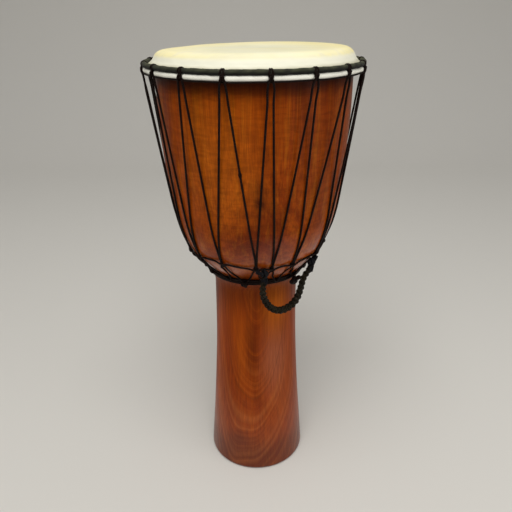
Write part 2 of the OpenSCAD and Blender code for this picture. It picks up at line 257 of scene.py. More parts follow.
@dataclass
class Surface:
    """A grid of points, in millimetres, that becomes part of a mesh.

    Attributes:
        points: Points by row and column.
        wrap_rows: Whether the last row joins the first.
        wrap_cols: Whether the last column joins the first.
        capped: Whether the first and last rows are closed with a fan.
        slip: Columns by which the last row is shifted where it joins the first.
        rows_at: Texture coordinate along the rows, one more than the rows.
    """

    points: Array
    wrap_rows: bool = False
    wrap_cols: bool = True
    capped: bool = False
    slip: int = 0
    rows_at: Optional[Array] = None

    def faces(self) -> Tuple[Array, Array, Array]:
        """The faces of the grid.

        Returns:
            Vertices, four corner indices a face, and a texture coordinate a corner. A fan's
            triangle repeats its last corner.
        """
        rows, cols = self.points.shape[:2]
        index = np.arange(rows * cols).reshape(rows, cols)
        vertices = self.points.reshape(-1, 3)
        below = np.vstack([index[1:], np.roll(index[:1], -self.slip, axis=1)])
        if not self.wrap_rows:
            index, below = index[:-1], below[:-1]
        span = cols if self.wrap_cols else cols - 1
        corners = np.stack([index, np.roll(index, -1, axis=1), np.roll(below, -1, axis=1), below],
                           axis=-1)[:, :span]
        across = np.arange(cols + 1) / span
        along = np.arange(rows + 1, dtype=float) if self.rows_at is None else self.rows_at
        i, j = np.indices(corners.shape[:2])
        texture = np.stack([np.stack([across[j + right], along[i + down]], -1)
                            for right, down in ((0, 0), (1, 0), (1, 1), (0, 1))], 2)
        corners, texture = corners.reshape(-1, 4), texture.reshape(-1, 4, 2)
        if self.capped:
            first, last = np.arange(cols), np.arange(cols) + (rows - 1) * cols
            start = np.full(cols, rows * cols)
            fans = np.vstack([
                np.stack([start, np.roll(first, -1), first, first], 1),
                np.stack([start + 1, last, np.roll(last, -1), np.roll(last, -1)], 1)])
            vertices = np.vstack([vertices, self.points[0].mean(0), self.points[-1].mean(0)])
            corners = np.vstack([corners, fans])
            texture = np.concatenate([texture, np.zeros((2 * cols, 4, 2))])
        return vertices, corners, texture


def lathe(profile: Array, segments: int, closed: bool, swell: Rule, dip: Rule) -> Surface:
    """A profile of radius and height carried round the drum's axis.

    Args:
        profile: Points of radius and height, upwards on the outside.
        segments: Steps round the axis.
        closed: Whether the profile returns to its start. Its ends are capped if it doesn't.
        swell: Gives what to add to the radius, from angle in degrees and profile points.
        dip: Gives what to take from the height in the same way.

    Returns:
        The surface.
    """
    angle = np.arange(segments)[None, :] * 360 / segments
    radius, height = (np.repeat(profile[:, k:k + 1], segments, axis=1) for k in (0, 1))
    at = profile[:, None, :]
    return Surface(around(angle, radius + swell(angle, at), height - dip(angle, at)),
                   wrap_rows=closed, capped=not closed,
                   rows_at=lengths_along(np.vstack([profile, profile[:1]])) * MM)


def sweep(path: Array, radius: Number, sides: int, closed: bool = False,
          relief: Optional[Rule] = None, flat: Pair = (1.0, 1.0),
          facing: Optional[Array] = None) -> Surface:
    """A round or flattened section carried along a path.

    Args:
        path: Middle line.
        radius: One radius, or one for each point.
        sides: Points round the section.
        closed: Whether the path returns to its start.
        relief: Share added to the radius, from the angle in the section and the distance along.
        flat: Shares of the radius along the facing direction and across it.
        facing: Direction at each point that the section's first axis turns to.

    Returns:
        The surface, with its ends closed where the path is open.
    """
    tangent, normal, binormal = carried_frames(path, closed)
    if facing is not None:
        normal = unit(facing - dot(facing, tangent) * tangent)
        binormal = np.cross(tangent, normal)
    angle = np.arange(sides) * TURN / sides
    along = lengths_along(np.vstack([path, path[:1]]) if closed else path)
    size = np.broadcast_to(np.asarray(radius, float), len(path))[:, None]
    if relief is not None:
        size = size * (1 + relief(angle[None, :], along[:len(path), None]))
    ring = (flat[0] * np.cos(angle)[None, :, None] * normal[:, None]
            + flat[1] * np.sin(angle)[None, :, None] * binormal[:, None])
    girth = TURN * float(np.mean(size))
    if not closed:
        along = np.append(along, along[-1])
    return Surface(path[:, None] + size[..., None] * ring, wrap_rows=closed,
                   capped=not closed, rows_at=along / girth)


def tapered(path: Array, radius: float, closed_over: float) -> Array:
    """Radii along a cord whose two ends are rounded off over a short distance."""
    along = lengths_along(path)
    share = np.clip(np.minimum(along, along[-1] - along) / closed_over, 0, 1)
    return radius * np.sqrt(np.clip(1 - (1 - share) ** 2, 0.01, 1))


def cut_cord(path: Array, radius: float, closed_over: float, sides: int,
             relief: Optional[Rule] = None) -> Surface:
    """A cord along a path, with its two cut ends rounded off over a short distance."""
    return sweep(path, tapered(path, radius, closed_over), sides, relief=relief)


def closed_cord(points: Array, step: float, radius: float, sides: int, relief: Rule) -> Surface:
    """A cord along a smooth line through points that returns to its start."""
    return sweep(smooth_path(points, step, closed=True), radius, sides, True, relief)


def braided(depth: float, pitch: float, ridges: int = 3) -> Rule:
    """Relief of a braided sleeve: the higher of two crossing families of slanted ridges.

    Args:
        depth: Share of the radius that the ridges stand up.
        pitch: Distance along in which a ridge goes once round, in millimetres.
        ridges: Ridges of one family round the cord.

    Returns:
        A rule for sweep.
    """
    def rule(angle: Array, along: Array) -> Array:
        """The ridges' height at an angle and a distance along."""
        one, other = (np.cos(ridges * (angle + way * TURN * along / pitch)) for way in (1, -1))
        return depth * (np.maximum(one, other) - 0.4)
    return rule


def twisted(depth: float, pitch: float, strands: int = 3) -> Rule:
    """Relief of a laid cord: round strands that turn about the middle.

    Args:
        depth: Share of the radius that the grooves are deep.
        pitch: Distance along in which a strand goes once round, in millimetres.
        strands: Number of strands.

    Returns:
        A rule for sweep.
    """
    def rule(angle: Array, along: Array) -> Array:
        """The strands' height at an angle and a distance along."""
        return depth * (np.abs(np.cos(strands / 2 * (angle - TURN * along / pitch))) - 0.8)
    return rule


def build_mesh(name: str, surfaces: Sequence[Surface], material: Material) -> Piece:
    """One object at the origin from several surfaces.

    Args:
        name: Name of the object.
        surfaces: Its surfaces, in millimetres.
        material: Its finish.

    Returns:
        The object, linked into the scene, smooth shaded and with a UV map.
    """
    grids = [surface.faces() for surface in surfaces]
    starts = np.cumsum([0] + [len(grid[0]) for grid in grids])
    points = np.vstack([grid[0] for grid in grids]) * MM
    corners = np.vstack([grid[1] + start for grid, start in zip(grids, starts)])
    texture = np.concatenate([grid[2] for grid in grids])
    keep = np.ones(corners.shape, bool)
    keep[:, 3] = corners[:, 2] != corners[:, 3]
    sizes = keep.sum(1)
    mesh = bpy.data.meshes.new(name)
    mesh.vertices.add(len(points))
    mesh.vertices.foreach_set("co", points.astype(np.float32).ravel())
    mesh.loops.add(int(sizes.sum()))
    mesh.loops.foreach_set("vertex_index", corners[keep].astype(np.int32))
    mesh.polygons.add(len(corners))
    mesh.polygons.foreach_set("loop_start", (np.cumsum(sizes) - sizes).astype(np.int32))
    mesh.update(calc_edges=True)
    layer = mesh.uv_layers.new(name="UVMap")
    layer.data.foreach_set("uv", texture[keep].astype(np.float32).ravel())
    mesh.polygons.foreach_set("use_smooth", np.ones(len(corners), bool))
    mesh.validate()
    mesh.materials.append(material)
    piece = bpy.data.objects.new(name, mesh)
    bpy.context.scene.collection.objects.link(piece)
    return piece


def add_piece(name: str, surfaces: Sequence[Surface], material: Material, slot: Slot, node: str,
              body: Body = Body.DRUM) -> Piece:
    """Builds a piece, sets it on its body and lets it stand for a CAD node.

    Args:
        name: Name of the piece.
        surfaces: Its surfaces.
        material: Its finish.
        slot: The record's material slot; not used.
        node: The CAD node that it replaces.
        body: The body that it moves with.

    Returns:
        The piece.
    """
    piece = build_mesh(name, surfaces, material)
    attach(piece, body.value)
    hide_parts(node)
    log.info("%s: %d faces on %s", name, len(piece.data.polygons), body.value)
    return piece


class Wiring:
    """Adds and joins the nodes of one node tree."""

    def __init__(self, tree: Tree) -> None:
        """Keeps the tree and starts it empty."""
        self.tree = tree
        tree.nodes.clear()

    @classmethod
    def of_material(cls, name: str) -> Tuple[Material, "Wiring"]:
        """A new material and the wiring of its nodes."""
        material = bpy.data.materials.new(name)
        material.use_nodes = True
        return material, cls(material.node_tree)

    def node(self, kind: str, inputs: Optional[Dict[Union[str, int], Value]] = None,
             **settings: object) -> bpy.types.Node:
        """A node with its settings and inputs.

        Args:
            kind: Blender's name of the node type, without ShaderNode.
            inputs: Values or sockets by input name or number.
            settings: Properties of the node.

        Returns:
            The node.
        """
        made = self.tree.nodes.new(kind if kind.startswith("NodeGroup") else f"ShaderNode{kind}")
        for key, value in settings.items():
            setattr(made, key, value)
        for key, value in (inputs or {}).items():
            self.feed(made.inputs[key], value)
        return made

    def feed(self, socket: Socket, value: Value) -> None:
        """Links a socket into an input, or sets the input's own value."""
        if isinstance(value, Socket):
            self.tree.links.new(value, socket)
        elif socket.type == "RGBA" and len(value) == 3:
            socket.default_value = (*value, 1.0)
        else:
            socket.default_value = value

    def math(self, operation: str, a: Value, b: Value = 0.0, clamp: bool = False) -> Socket:
        """One sum of two values."""
        return self.node("Math", {0: a, 1: b}, operation=operation, use_clamp=clamp).outputs[0]

    def times(self, first: Value, *others: Value) -> Socket:
        """The product of some values."""
        for other in others:
            first = self.math("MULTIPLY", first, other)
        return first

    def vector(self, operation: str, a: Value, b: Value) -> Socket:
        """One sum of two vectors, as a vector."""
        return self.node("VectorMath", {0: a, 1: b}, operation=operation).outputs["Vector"]

    def distance(self, a: Value, b: Value = (0, 0, 0)) -> Socket:
        """How far two points are apart."""
        return self.node("VectorMath", {0: a, 1: b}, operation="DISTANCE").outputs["Value"]

    def part(self, vector: Value, axis: int) -> Socket:
        """One of a vector's three values."""
        return self.node("SeparateXYZ", {0: vector}).outputs[axis]

    def combine(self, x: Value, y: Value = 0.0, z: Value = 0.0) -> Socket:
        """A vector of three values."""
        return self.node("CombineXYZ", {0: x, 1: y, 2: z}).outputs[0]

    def mix(self, share: Value, a: Value, b: Value) -> Socket:
        """Two colours mixed."""
        return self.node("Mix", {0: share, 6: a, 7: b}, data_type="RGBA").outputs[2]

    def layers(self, colour: Value, layers: Sequence[Tuple[float, Value, Colour]]) -> Socket:
        """Tones laid over a colour, each by its share of a mask."""
        for share, mask, tone in layers:
            colour = self.mix(self.times(mask, share), colour, tone)
        return colour

    def span(self, value: Value, low: float, high: float, to_low: float = 0.0,
             to_high: float = 1.0) -> Socket:
        """A value's range carried smoothly over to another range."""
        return self.node("MapRange", {
            "Value": value, "From Min": low, "From Max": high, "To Min": to_low, "To Max": to_high},
            interpolation_type="SMOOTHSTEP").outputs["Result"]

    def noise(self, vector: Value, scale: Value, detail: Value = 2.0, rough: float = 0.5,
              distortion: float = 0.0) -> Socket:
        """Noise in space, from 0 to 1."""
        return self.node("TexNoise", {
            "Vector": vector, "Scale": scale, "Detail": detail, "Roughness": rough,
            "Distortion": distortion}).outputs[0]

    def coordinates(self, name: str = "Object") -> Socket:
        """Object or UV coordinates."""
        return self.node("TexCoord").outputs[name]

    def mapping(self, vector: Value, turn: Sequence[float] = (0, 0, 0),
                scale: Sequence[float] = (1, 1, 1)) -> Socket:
        """Coordinates turned by degrees and scaled."""
        return self.node("Mapping", {"Vector": vector, "Scale": scale,
                                     "Rotation": [math.radians(a) for a in turn]}).outputs[0]

    def bump(self, height: Value, strength: float, distance: float, **normal: Socket) -> Socket:
        """A normal bent by a height, from the plain one or from a Normal that is given."""
        return self.node("Bump", {"Height": height, "Strength": strength, "Distance": distance,
                                  **normal}).outputs[0]

    def group(self, tree: Tree, **inputs: Value) -> bpy.types.NodeOutputs:
        """The outputs of a placed node group."""
        return self.node("Group", inputs, node_tree=tree).outputs

    def surface(self, colour: Value, roughness: Value, **others: Value) -> None:
        """The shader at the end of a material.

        Args:
            colour: Base colour.
            roughness: Roughness.
            others: Other inputs by name, with _ for each space.
        """
        inputs = {key.replace("_", " "): value for key, value in others.items()}
        shader = self.node("BsdfPrincipled", {"Base Color": colour, "Roughness": roughness, **inputs})
        self.node("OutputMaterial", {"Surface": shader.outputs[0]})


class Effects:
    """Node groups that several finishes share, built once."""

    def __init__(self) -> None:
        """Builds the groups."""
        self.streaks = self._streaks()
        self.mottle = self._mottle()
        self.weave = self._weave()
        self.lint = self._lint()

    @staticmethod
    def _open(name: str, vector: str, values: Sequence[str], outputs: Sequence[str]
              ) -> Tuple[Tree, Wiring, bpy.types.NodeOutputs, bpy.types.NodeInputs]:
        """A node group with one vector and some values in, and some values out.

        Args:
            name: Name of the group.
            vector: Name of the vector input.
            values: Names of the value inputs.
            outputs: Names of the outputs.

        Returns:
            The group, its wiring, what it is given and the sockets of its result.
        """
        tree = bpy.data.node_groups.new(name, "ShaderNodeTree")
        tree.interface.new_socket(vector, in_out="INPUT", socket_type="NodeSocketVector")
        for way, labels in (("INPUT", values), ("OUTPUT", outputs)):
            for label in labels:
                tree.interface.new_socket(label, in_out=way, socket_type="NodeSocketFloat")
        w = Wiring(tree)
        return tree, w, w.node("NodeGroupInput").outputs, w.node("NodeGroupOutput").inputs

    def _streaks(self) -> Tree:
        """Long fibres along Z: noise that is fine across and slow along."""
        tree, w, given, result = self._open("Streaks", "Vector", ("Across", "Along"), ("Value",))
        scale = w.combine(given["Across"], given["Across"], given["Along"])
        value = w.noise(w.vector("MULTIPLY", given["Vector"], scale), 1.0, 4.0, 0.62, 0.15)
        w.feed(result["Value"], w.span(value, 0.28, 0.72))
        return tree

    def _mottle(self) -> Tree:
        """Soft cloudy patches."""
        tree, w, given, result = self._open("Mottle", "Vector", ("Scale", "Detail"), ("Value",))
        value = w.noise(given["Vector"], given["Scale"], given["Detail"], 0.55, 0.6)
        w.feed(result["Value"], w.span(value, 0.33, 0.67))
        return tree

    def _weave(self) -> Tree:
        """Two crossing families of slanted yarns on a cord or a cloth strip."""
        tree, w, given, result = self._open("Weave", "UV", ("Yarns", "Slant"), ("Height", "Groove"))
        along = w.times(w.part(given["UV"], 1), given["Slant"])
        ridges = []
        for sign in (1.0, -1.0):
            lean = w.math("ADD", w.times(along, sign), w.part(given["UV"], 0))
            ridges.append(w.math("COSINE", w.times(lean, given["Yarns"], TURN)))
        height = w.math("MAXIMUM", *ridges)
        w.feed(result["Height"], w.span(height, -0.4, 1.0))
        w.feed(result["Groove"], w.span(height, 0.75, -0.2))
        return tree

    def _lint(self) -> Tree:
        """Specks of dust and lint that gather on dark cord and cloth."""
        tree, w, given, result = self._open("Lint", "Vector", ("Amount",), ("Mask",))
        patches = w.noise(given["Vector"], 60.0, 3.0)
        specks = w.span(w.noise(given["Vector"], 900.0, 2.0, 0.7), 0.5, 0.75)
        mask = w.times(specks, w.span(patches, 0.4, 0.7))
        w.feed(result["Mask"], w.math("MULTIPLY", mask, given["Amount"], clamp=True))
        return tree


@dataclass(frozen=True)
class Patch:
    """A soft patch of another tone in the wood, or a painted reflection.

    Attributes:
        centre: Its middle, in metres.
        reach: How far it fades out across.
        tall: How many times further it reaches up and down.
        strength: How strong it is in its middle.
        tone: Its colour.
    """

    centre: Point
    reach: float
    tall: float
    strength: float
    tone: Colour


@dataclass(frozen=True)
class WoodFinish:
    """Clear varnish over red-brown wood with growth rings about a pith that leans forwards. Painted
    shade darkens the wood right under the rim and at the neck, and three patches are painted
    reflections.
    """

    honey: Colour = display(215, 101, 8)
    amber: Colour = display(182, 76, 5)
    russet: Colour = display(128, 43, 3)
    # dark tone of fibres, pores, dark grain lines and the foot, and of the painted shade at the neck
    dark_grain_and_shade: Colour = display(52, 14, 2)
    # painted shade: colour of the dark band under the rim, where the head shades the wood
    painted_rim_shade: Colour = display(40, 8, 1)
    gold: Colour = display(216, 118, 20)
    pale: Colour = display(206, 124, 66)
    pith: Pair = (-0.002, -0.012)
    lean: float = -0.073
    upright_from: float = 0.30
    drift: float = 0.016
    rings_per_m: Pair = (240.0, 700.0)
    patches: Tuple[Patch, ...] = (
        Patch((-0.040, -0.112, 0.485), 0.075, 1.8, 0.5, display(224, 120, 24)),
        Patch((0.080, -0.090, 0.450), 0.070, 1.5, 0.4, display(90, 34, 8)),
        Patch((0.000, -0.100, 0.382), 0.062, 0.6, 0.5, display(122, 30, 3)),
        # painted reflection: pale pinkish sheen on the stem's right, standing for the floor reflected
        # in the varnish
        Patch((0.028, -0.054, 0.190), 0.034, 3.2, 0.9, display(174, 98, 66)),
        Patch((-0.007, -0.061, 0.215), 0.018, 4.5, 0.6, display(66, 20, 3)),
        Patch((-0.023, -0.055, 0.215), 0.010, 6.0, 0.35, display(206, 100, 14)),
        Patch((0.027, -0.051, 0.270), 0.034, 2.0, 0.7, display(206, 106, 12)),
        Patch((0.014, -0.107, 0.418), 0.052, 1.0, 0.42, display(84, 26, 3)),
        Patch((0.055, -0.102, 0.535), 0.052, 1.0, 0.3, display(88, 32, 6)),
        # painted reflection: grey-pink sheen on the lower bowl, right of the middle
        Patch((0.032, -0.100, 0.383), 0.036, 0.6, 0.35, display(150, 84, 70)),
        # painted reflection: pale pink sheen on the underside between the girdle and the neck band
        Patch((-0.036, -0.075, 0.338), 0.030, 0.5, 0.45, display(190, 122, 100)),
        Patch((-0.024, -0.064, 0.050), 0.034, 0.8, 0.5, display(92, 34, 12)),
        Patch((-0.014, -0.103, 0.388), 0.032, 0.8, 0.4, display(60, 12, 2)),
        Patch((0.004, -0.112, 0.455), 0.018, 1.6, 0.45, display(52, 14, 2)),
        Patch((0.005, -0.111, 0.440), 0.013, 1.0, 0.85, display(52, 14, 2)))

    def material(self, effects: Effects) -> Material:
        """The wood: rings about a leaning pith, fibres, cross ripple, patches and a dark knot, with
        painted shade under the rim and at the neck, and painted reflections in three patches.

        Args:
            effects: The shared node groups.

        Returns:
            The material.
        """
        material, w = Wiring.of_material("varnished_wood")
        place = w.coordinates()
        across, height = w.part(place, 0), w.part(place, 2)

        def level(low: float, high: float, to_low: float = 0.0, to_high: float = 1.0) -> Socket:
            """A mask by height above the floor."""
            return w.span(height, low, high, to_low, to_high)

        slow = w.mapping(place, scale=(1, 1, 0.3))
        drift = w.vector("SUBTRACT", w.noise(slow, 9.0).node.outputs["Color"], (0.5, 0.5, 0.5))
        moved = w.vector("ADD", place, w.vector("MULTIPLY", drift, (self.drift, self.drift, 0)))
        forward = w.times(w.math("MINIMUM", height, self.upright_from), self.lean)
        pith = w.combine(self.pith[0], w.math("ADD", forward, self.pith[1]))
        from_pith = w.distance(w.vector("MULTIPLY", w.vector("SUBTRACT", moved, pith), (1, 1, 0)))
        rings, lines = (w.noise(w.combine(w.times(from_pith, scale)), 1.0, 3.0, 0.6)
                        for scale in self.rings_per_m)
        fibre, pores, bands, flames = (
            w.group(effects.streaks, Vector=vector, Across=fine, Along=long)[0]
            for vector, fine, long in ((place, 520.0, 11.0), (place, 1300.0, 36.0),
                                       (moved, 60.0, 2.5), (moved, 150.0, 5.0)))
        clouds = w.group(effects.mottle, Vector=slow, Scale=14.0, Detail=3.0)[0]
        ripple = w.group(effects.mottle, Vector=w.mapping(moved, scale=(0.25, 0.25, 1.0)),
                         Scale=190.0, Detail=2.0)[0]
        colour = w.layers(w.mix(w.span(rings, 0.3, 0.7), self.amber, self.honey), (
            (0.4, bands, self.russet), (0.45, clouds, self.russet),
            (0.5, w.times(w.span(flames, 0.45, 1.0), level(0.3, 0.37, 0.25)), self.gold),
            (0.3, level(0.34, 0.28), self.russet),
            # painted shade: the neck is darkened where the bowl above shades it
            (0.45, w.times(level(0.24, 0.3), level(0.345, 0.315)), self.dark_grain_and_shade),
            # darker towards the foot
            (0.5, level(0.075, 0.02), self.dark_grain_and_shade)))
        for patch in self.patches:
            near = w.vector("MULTIPLY", w.vector("SUBTRACT", moved, patch.centre),
                            (1, 1, 1 / patch.tall))
            share = w.span(w.distance(near), patch.reach, 0.0, 0.0, patch.strength)
            colour = w.mix(share, colour, patch.tone)
        colour = w.layers(colour, (
            (0.3, w.span(lines, 0.52, 0.7), self.honey),
            (0.35, w.times(w.span(lines, 0.47, 0.3), level(0.36, 0.3, 0.35)), self.dark_grain_and_shade),
            (0.2, w.times(w.span(lines, 0.5, 0.72), level(0.2, 0.12)), self.pale),
            (0.24, w.times(w.span(rings, 0.44, 0.7), level(0.22, 0.12)), self.pale),
            (0.34, fibre, self.dark_grain_and_shade), (0.22, pores, self.dark_grain_and_shade),
            (0.26, w.times(ripple, level(0.32, 0.38)), self.dark_grain_and_shade),
            # painted shade: the wood right under the rolled hide is darkened, standing for the head's
            # shadow
            (0.9, level(0.551, 0.571), self.painted_rim_shade)))
        grain = w.bump(w.math("ADD", w.times(pores, 0.6), fibre), 0.1, 0.0004)
        brushed = w.bump(w.noise(slow, 70.0), 0.12, 0.004, Normal=grain)
        lit = w.math("MAXIMUM", w.span(across, -0.05, 0.03, 0.35, 0.9), level(0.356, 0.346, 0, 0.9))
        under = w.times(level(0.405, 0.35), level(0.3, 0.34), lit)
        w.surface(colour, w.span(fibre, 0.0, 1.0, 0.34, 0.44), Normal=brushed,
                  Coat_Weight=w.math("MAXIMUM", level(0.16, 0.03, 0, 0.5), under),
                  Coat_Roughness=0.25, Coat_IOR=1.5, Specular_IOR_Level=0.07)
        return material


@dataclass(frozen=True)
class HideFinish:
    """Dry goat hide: cream with faint streaks across. Its back is painted lighter against the lamp's
    falloff, the steep drop past the rim is painted light, the flare is painted shade, and the roll is
    paler, partly as painted light.
    """

    cream: Colour = display(232, 231, 203)
    # painted light: the paler tone that the back of the hide is mixed to, because the lamp lights the
    # front more
    light: Colour = display(252, 249, 217)
    straw: Colour = display(255, 241, 170)
    # pale tone of the cloudy patches and of the roll, where it is partly painted light
    bone: Colour = display(255, 254, 242)
    grey: Colour = display(230, 223, 193)
    # painted light: near-white tone on the steep drop past the rim, to offset the shade it gets from
    # the high lamp
    drop: Colour = display(255, 253, 232)
    # painted shade: darker tone on the flare, where it faces the high lamp
    flare: Colour = display(205, 202, 176)
    middle: Point = (0.005, -0.05, 0.6)

    def material(self, effects: Effects) -> Material:
        """The hide: long streaks, cloudy patches, pores, painted light at the back and on the drop,
        painted shade on the flare, and a pale rolled edge that is partly painted light.
        """
        material, w = Wiring.of_material("hide")
        place = w.coordinates()
        turned = w.mapping(place, turn=(0, 90, 4))
        streaks, broad = (w.group(effects.streaks, Vector=turned, Across=fine, Along=long)[0]
                          for fine, long in ((150.0, 9.0), (26.0, 4.0)))
        clouds = w.group(effects.mottle, Vector=place, Scale=16.0, Detail=4.0)[0]
        from_axis = w.distance(w.vector("MULTIPLY", place, (1, 1, 0)))
        # painted light: cream at the front, lighter towards the back
        colour = w.mix(w.span(w.part(place, 1), -0.05, 0.07), self.cream, self.light)
        for share, tone in (
                (w.span(w.distance(place, self.middle), 0.035, 0.12, 0.0, 0.9), self.straw),
                (w.times(broad, 0.45), self.straw),
                (w.span(streaks, 0.35, 1.0, 0.0, 0.55), self.grey),
                (w.times(clouds, 0.2), self.bone),
                # painted light on the steep drop past the rim
                (w.span(from_axis, 0.1165, 0.1195), self.drop),
                # painted shade on the flare
                (w.span(from_axis, 0.1205, 0.124), self.flare),
                # the roll is paler: partly its own tone, partly painted light against the crown ring's
                # shade
                (w.span(from_axis, 0.1275, 0.13), self.bone)):
            colour = w.mix(share, colour, tone)
        pores = w.noise(place, 1400.0, 3.0, 0.7)
        normal = w.bump(w.math("ADD", pores, w.times(streaks, 1.5)), 0.12, 0.0005)
        w.surface(colour, w.span(clouds, 0.0, 1.0, 0.5, 0.64), Normal=normal,
                  Specular_IOR_Level=0.35, Sheen_Weight=0.05)
        return material


@dataclass(frozen=True)
class ClothFinish:
    """Black cotton strip wound round the crown ring, lighter on its upper side: partly dust and fade,
    partly painted light from above.
    """

    black: Colour = display(9, 10, 6)
    # tone of the upper ridges: partly faded cloth, partly painted light from above
    faded_and_painted_light: Colour = display(84, 86, 64)
    dust: Colour = display(140, 138, 128)
    upper: Pair = (0.5812, 0.5866)

    def material(self, effects: Effects) -> Material:
        """The cloth: plain weave, ridges lighter on the upper side (partly fade, partly painted light
        from above), and lint.
        """
        material, w = Wiring.of_material("black_cloth")
        place = w.coordinates()
        weave = w.group(effects.weave, UV=w.coordinates("UV"), Yarns=26.0, Slant=1.0)["Height"]
        worn = w.group(effects.mottle, Vector=place, Scale=120.0, Detail=3.0)[0]
        # painted light: the upper side is lighter, partly from fade and dust, partly standing for light
        # from above
        upper_fade_and_light = w.times(w.span(w.part(place, 2), *self.upper), w.span(worn, 0.0, 1.0, 0.5))
        colour = w.mix(w.times(upper_fade_and_light, weave), self.black, self.faded_and_painted_light)
        colour = w.mix(w.group(effects.lint, Vector=place, Amount=0.2)[0], colour, self.dust)
        w.surface(colour, w.span(worn, 0.0, 1.0, 0.75, 0.9), Normal=w.bump(weave, 0.4, 0.0003),
                  Specular_IOR_Level=0.25, Sheen_Weight=0.03, Sheen_Roughness=0.5)
        return material


@dataclass(frozen=True)
class CordFinish:
    """Dark cord with a braided sleeve or twisted yarns.

    Attributes:
        name: Name of the material.
        black: Colour of the yarns.
        worn: Colour of their tops.
        yarns: Yarns round the cord.
        slant: How steeply they run round it.
        lint: Amount of dust.
        dust: Its colour.
        rough: Roughness of the yarns, and what their grooves add to it.
    """

    name: str
    black: Colour = display(12, 3, 1)
    worn: Colour = display(26, 10, 6)
    yarns: float = 4.0
    slant: float = 0.6
    lint: float = 0.1
    dust: Colour = display(150, 146, 138)
    rough: Pair = (0.5, 0.2)

    def material(self, effects: Effects) -> Material:
        """The cord: woven yarns, worn tops and lint."""
        material, w = Wiring.of_material(self.name)
        place = w.coordinates()
        weave = w.group(effects.weave, UV=w.coordinates("UV"), Yarns=self.yarns, Slant=self.slant)
        patches = w.group(effects.mottle, Vector=place, Scale=90.0, Detail=3.0)[0]
        tops = w.times(weave["Height"], w.span(patches, 0.0, 1.0, 0.35))
        colour = w.mix(tops, self.black, self.worn)
        colour = w.mix(w.group(effects.lint, Vector=place, Amount=self.lint)[0], colour, self.dust)
        rough = w.math("ADD", w.times(weave["Groove"], self.rough[1]), self.rough[0])
        w.surface(colour, rough, Normal=w.bump(weave["Height"], 0.5, 0.0003), Specular_IOR_Level=0.1)
        return material


@dataclass(frozen=True)
class SteelFinish:
    """Bare drawn steel rod with faint rust, inside the cloth and the roll."""

    steel: Colour = display(150, 150, 153)
    rust: Colour = display(110, 62, 38)

    def material(self, effects: Effects) -> Material:
        """The rod: draw lines and specks of rust."""
        material, w = Wiring.of_material("steel_rod")
        place = w.coordinates()
        rust = w.group(effects.mottle, Vector=place, Scale=60.0, Detail=5.0)[0]
        lines = w.group(effects.streaks, Vector=place, Across=700.0, Along=700.0)[0]
        w.surface(w.mix(w.times(rust, 0.4), self.steel, self.rust), w.span(rust, 0.0, 1.0, 0.3, 0.6),
                  Normal=w.bump(lines, 0.1, 0.0002), Metallic=w.span(rust, 0.3, 1.0, 1.0, 0.4))
        return material


class Finishes:
    """Every material of the drum."""

    def __init__(self) -> None:
        """Builds the shared effects and the materials."""
        effects = Effects()
        self.wood, self.hide, self.cloth, self.steel = (
            finish.material(effects)
            for finish in (WoodFinish(), HideFinish(), ClothFinish(), SteelFinish()))
        self.rope, self.thin, self.braid, self.tie = (finish.material(effects) for finish in (
            CordFinish("black_rope"), CordFinish("black_cord", yarns=3.0, slant=0.5),
            CordFinish("olive_braid", black=display(9, 8, 4), worn=display(38, 31, 15),
                       yarns=5.0, slant=0.35, lint=0.22),
            CordFinish("blue_black_cord", black=display(7, 7, 10), worn=display(22, 22, 29),
                       yarns=3.0, slant=0.5)))


@dataclass
class RingPlace:
    """Where a round ring of the frame lies, in millimetres."""

    radius: float
    height: float
    thick: float

    @classmethod
    def of_node(cls, node: str) -> "RingPlace":
        """Reads a ring node's place from its box in the frame."""
        low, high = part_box(node)
        thick = (high.z - low.z) / MM
        return cls(high.x / MM - thick / 2, (high.z + low.z) / 2 / MM, thick)


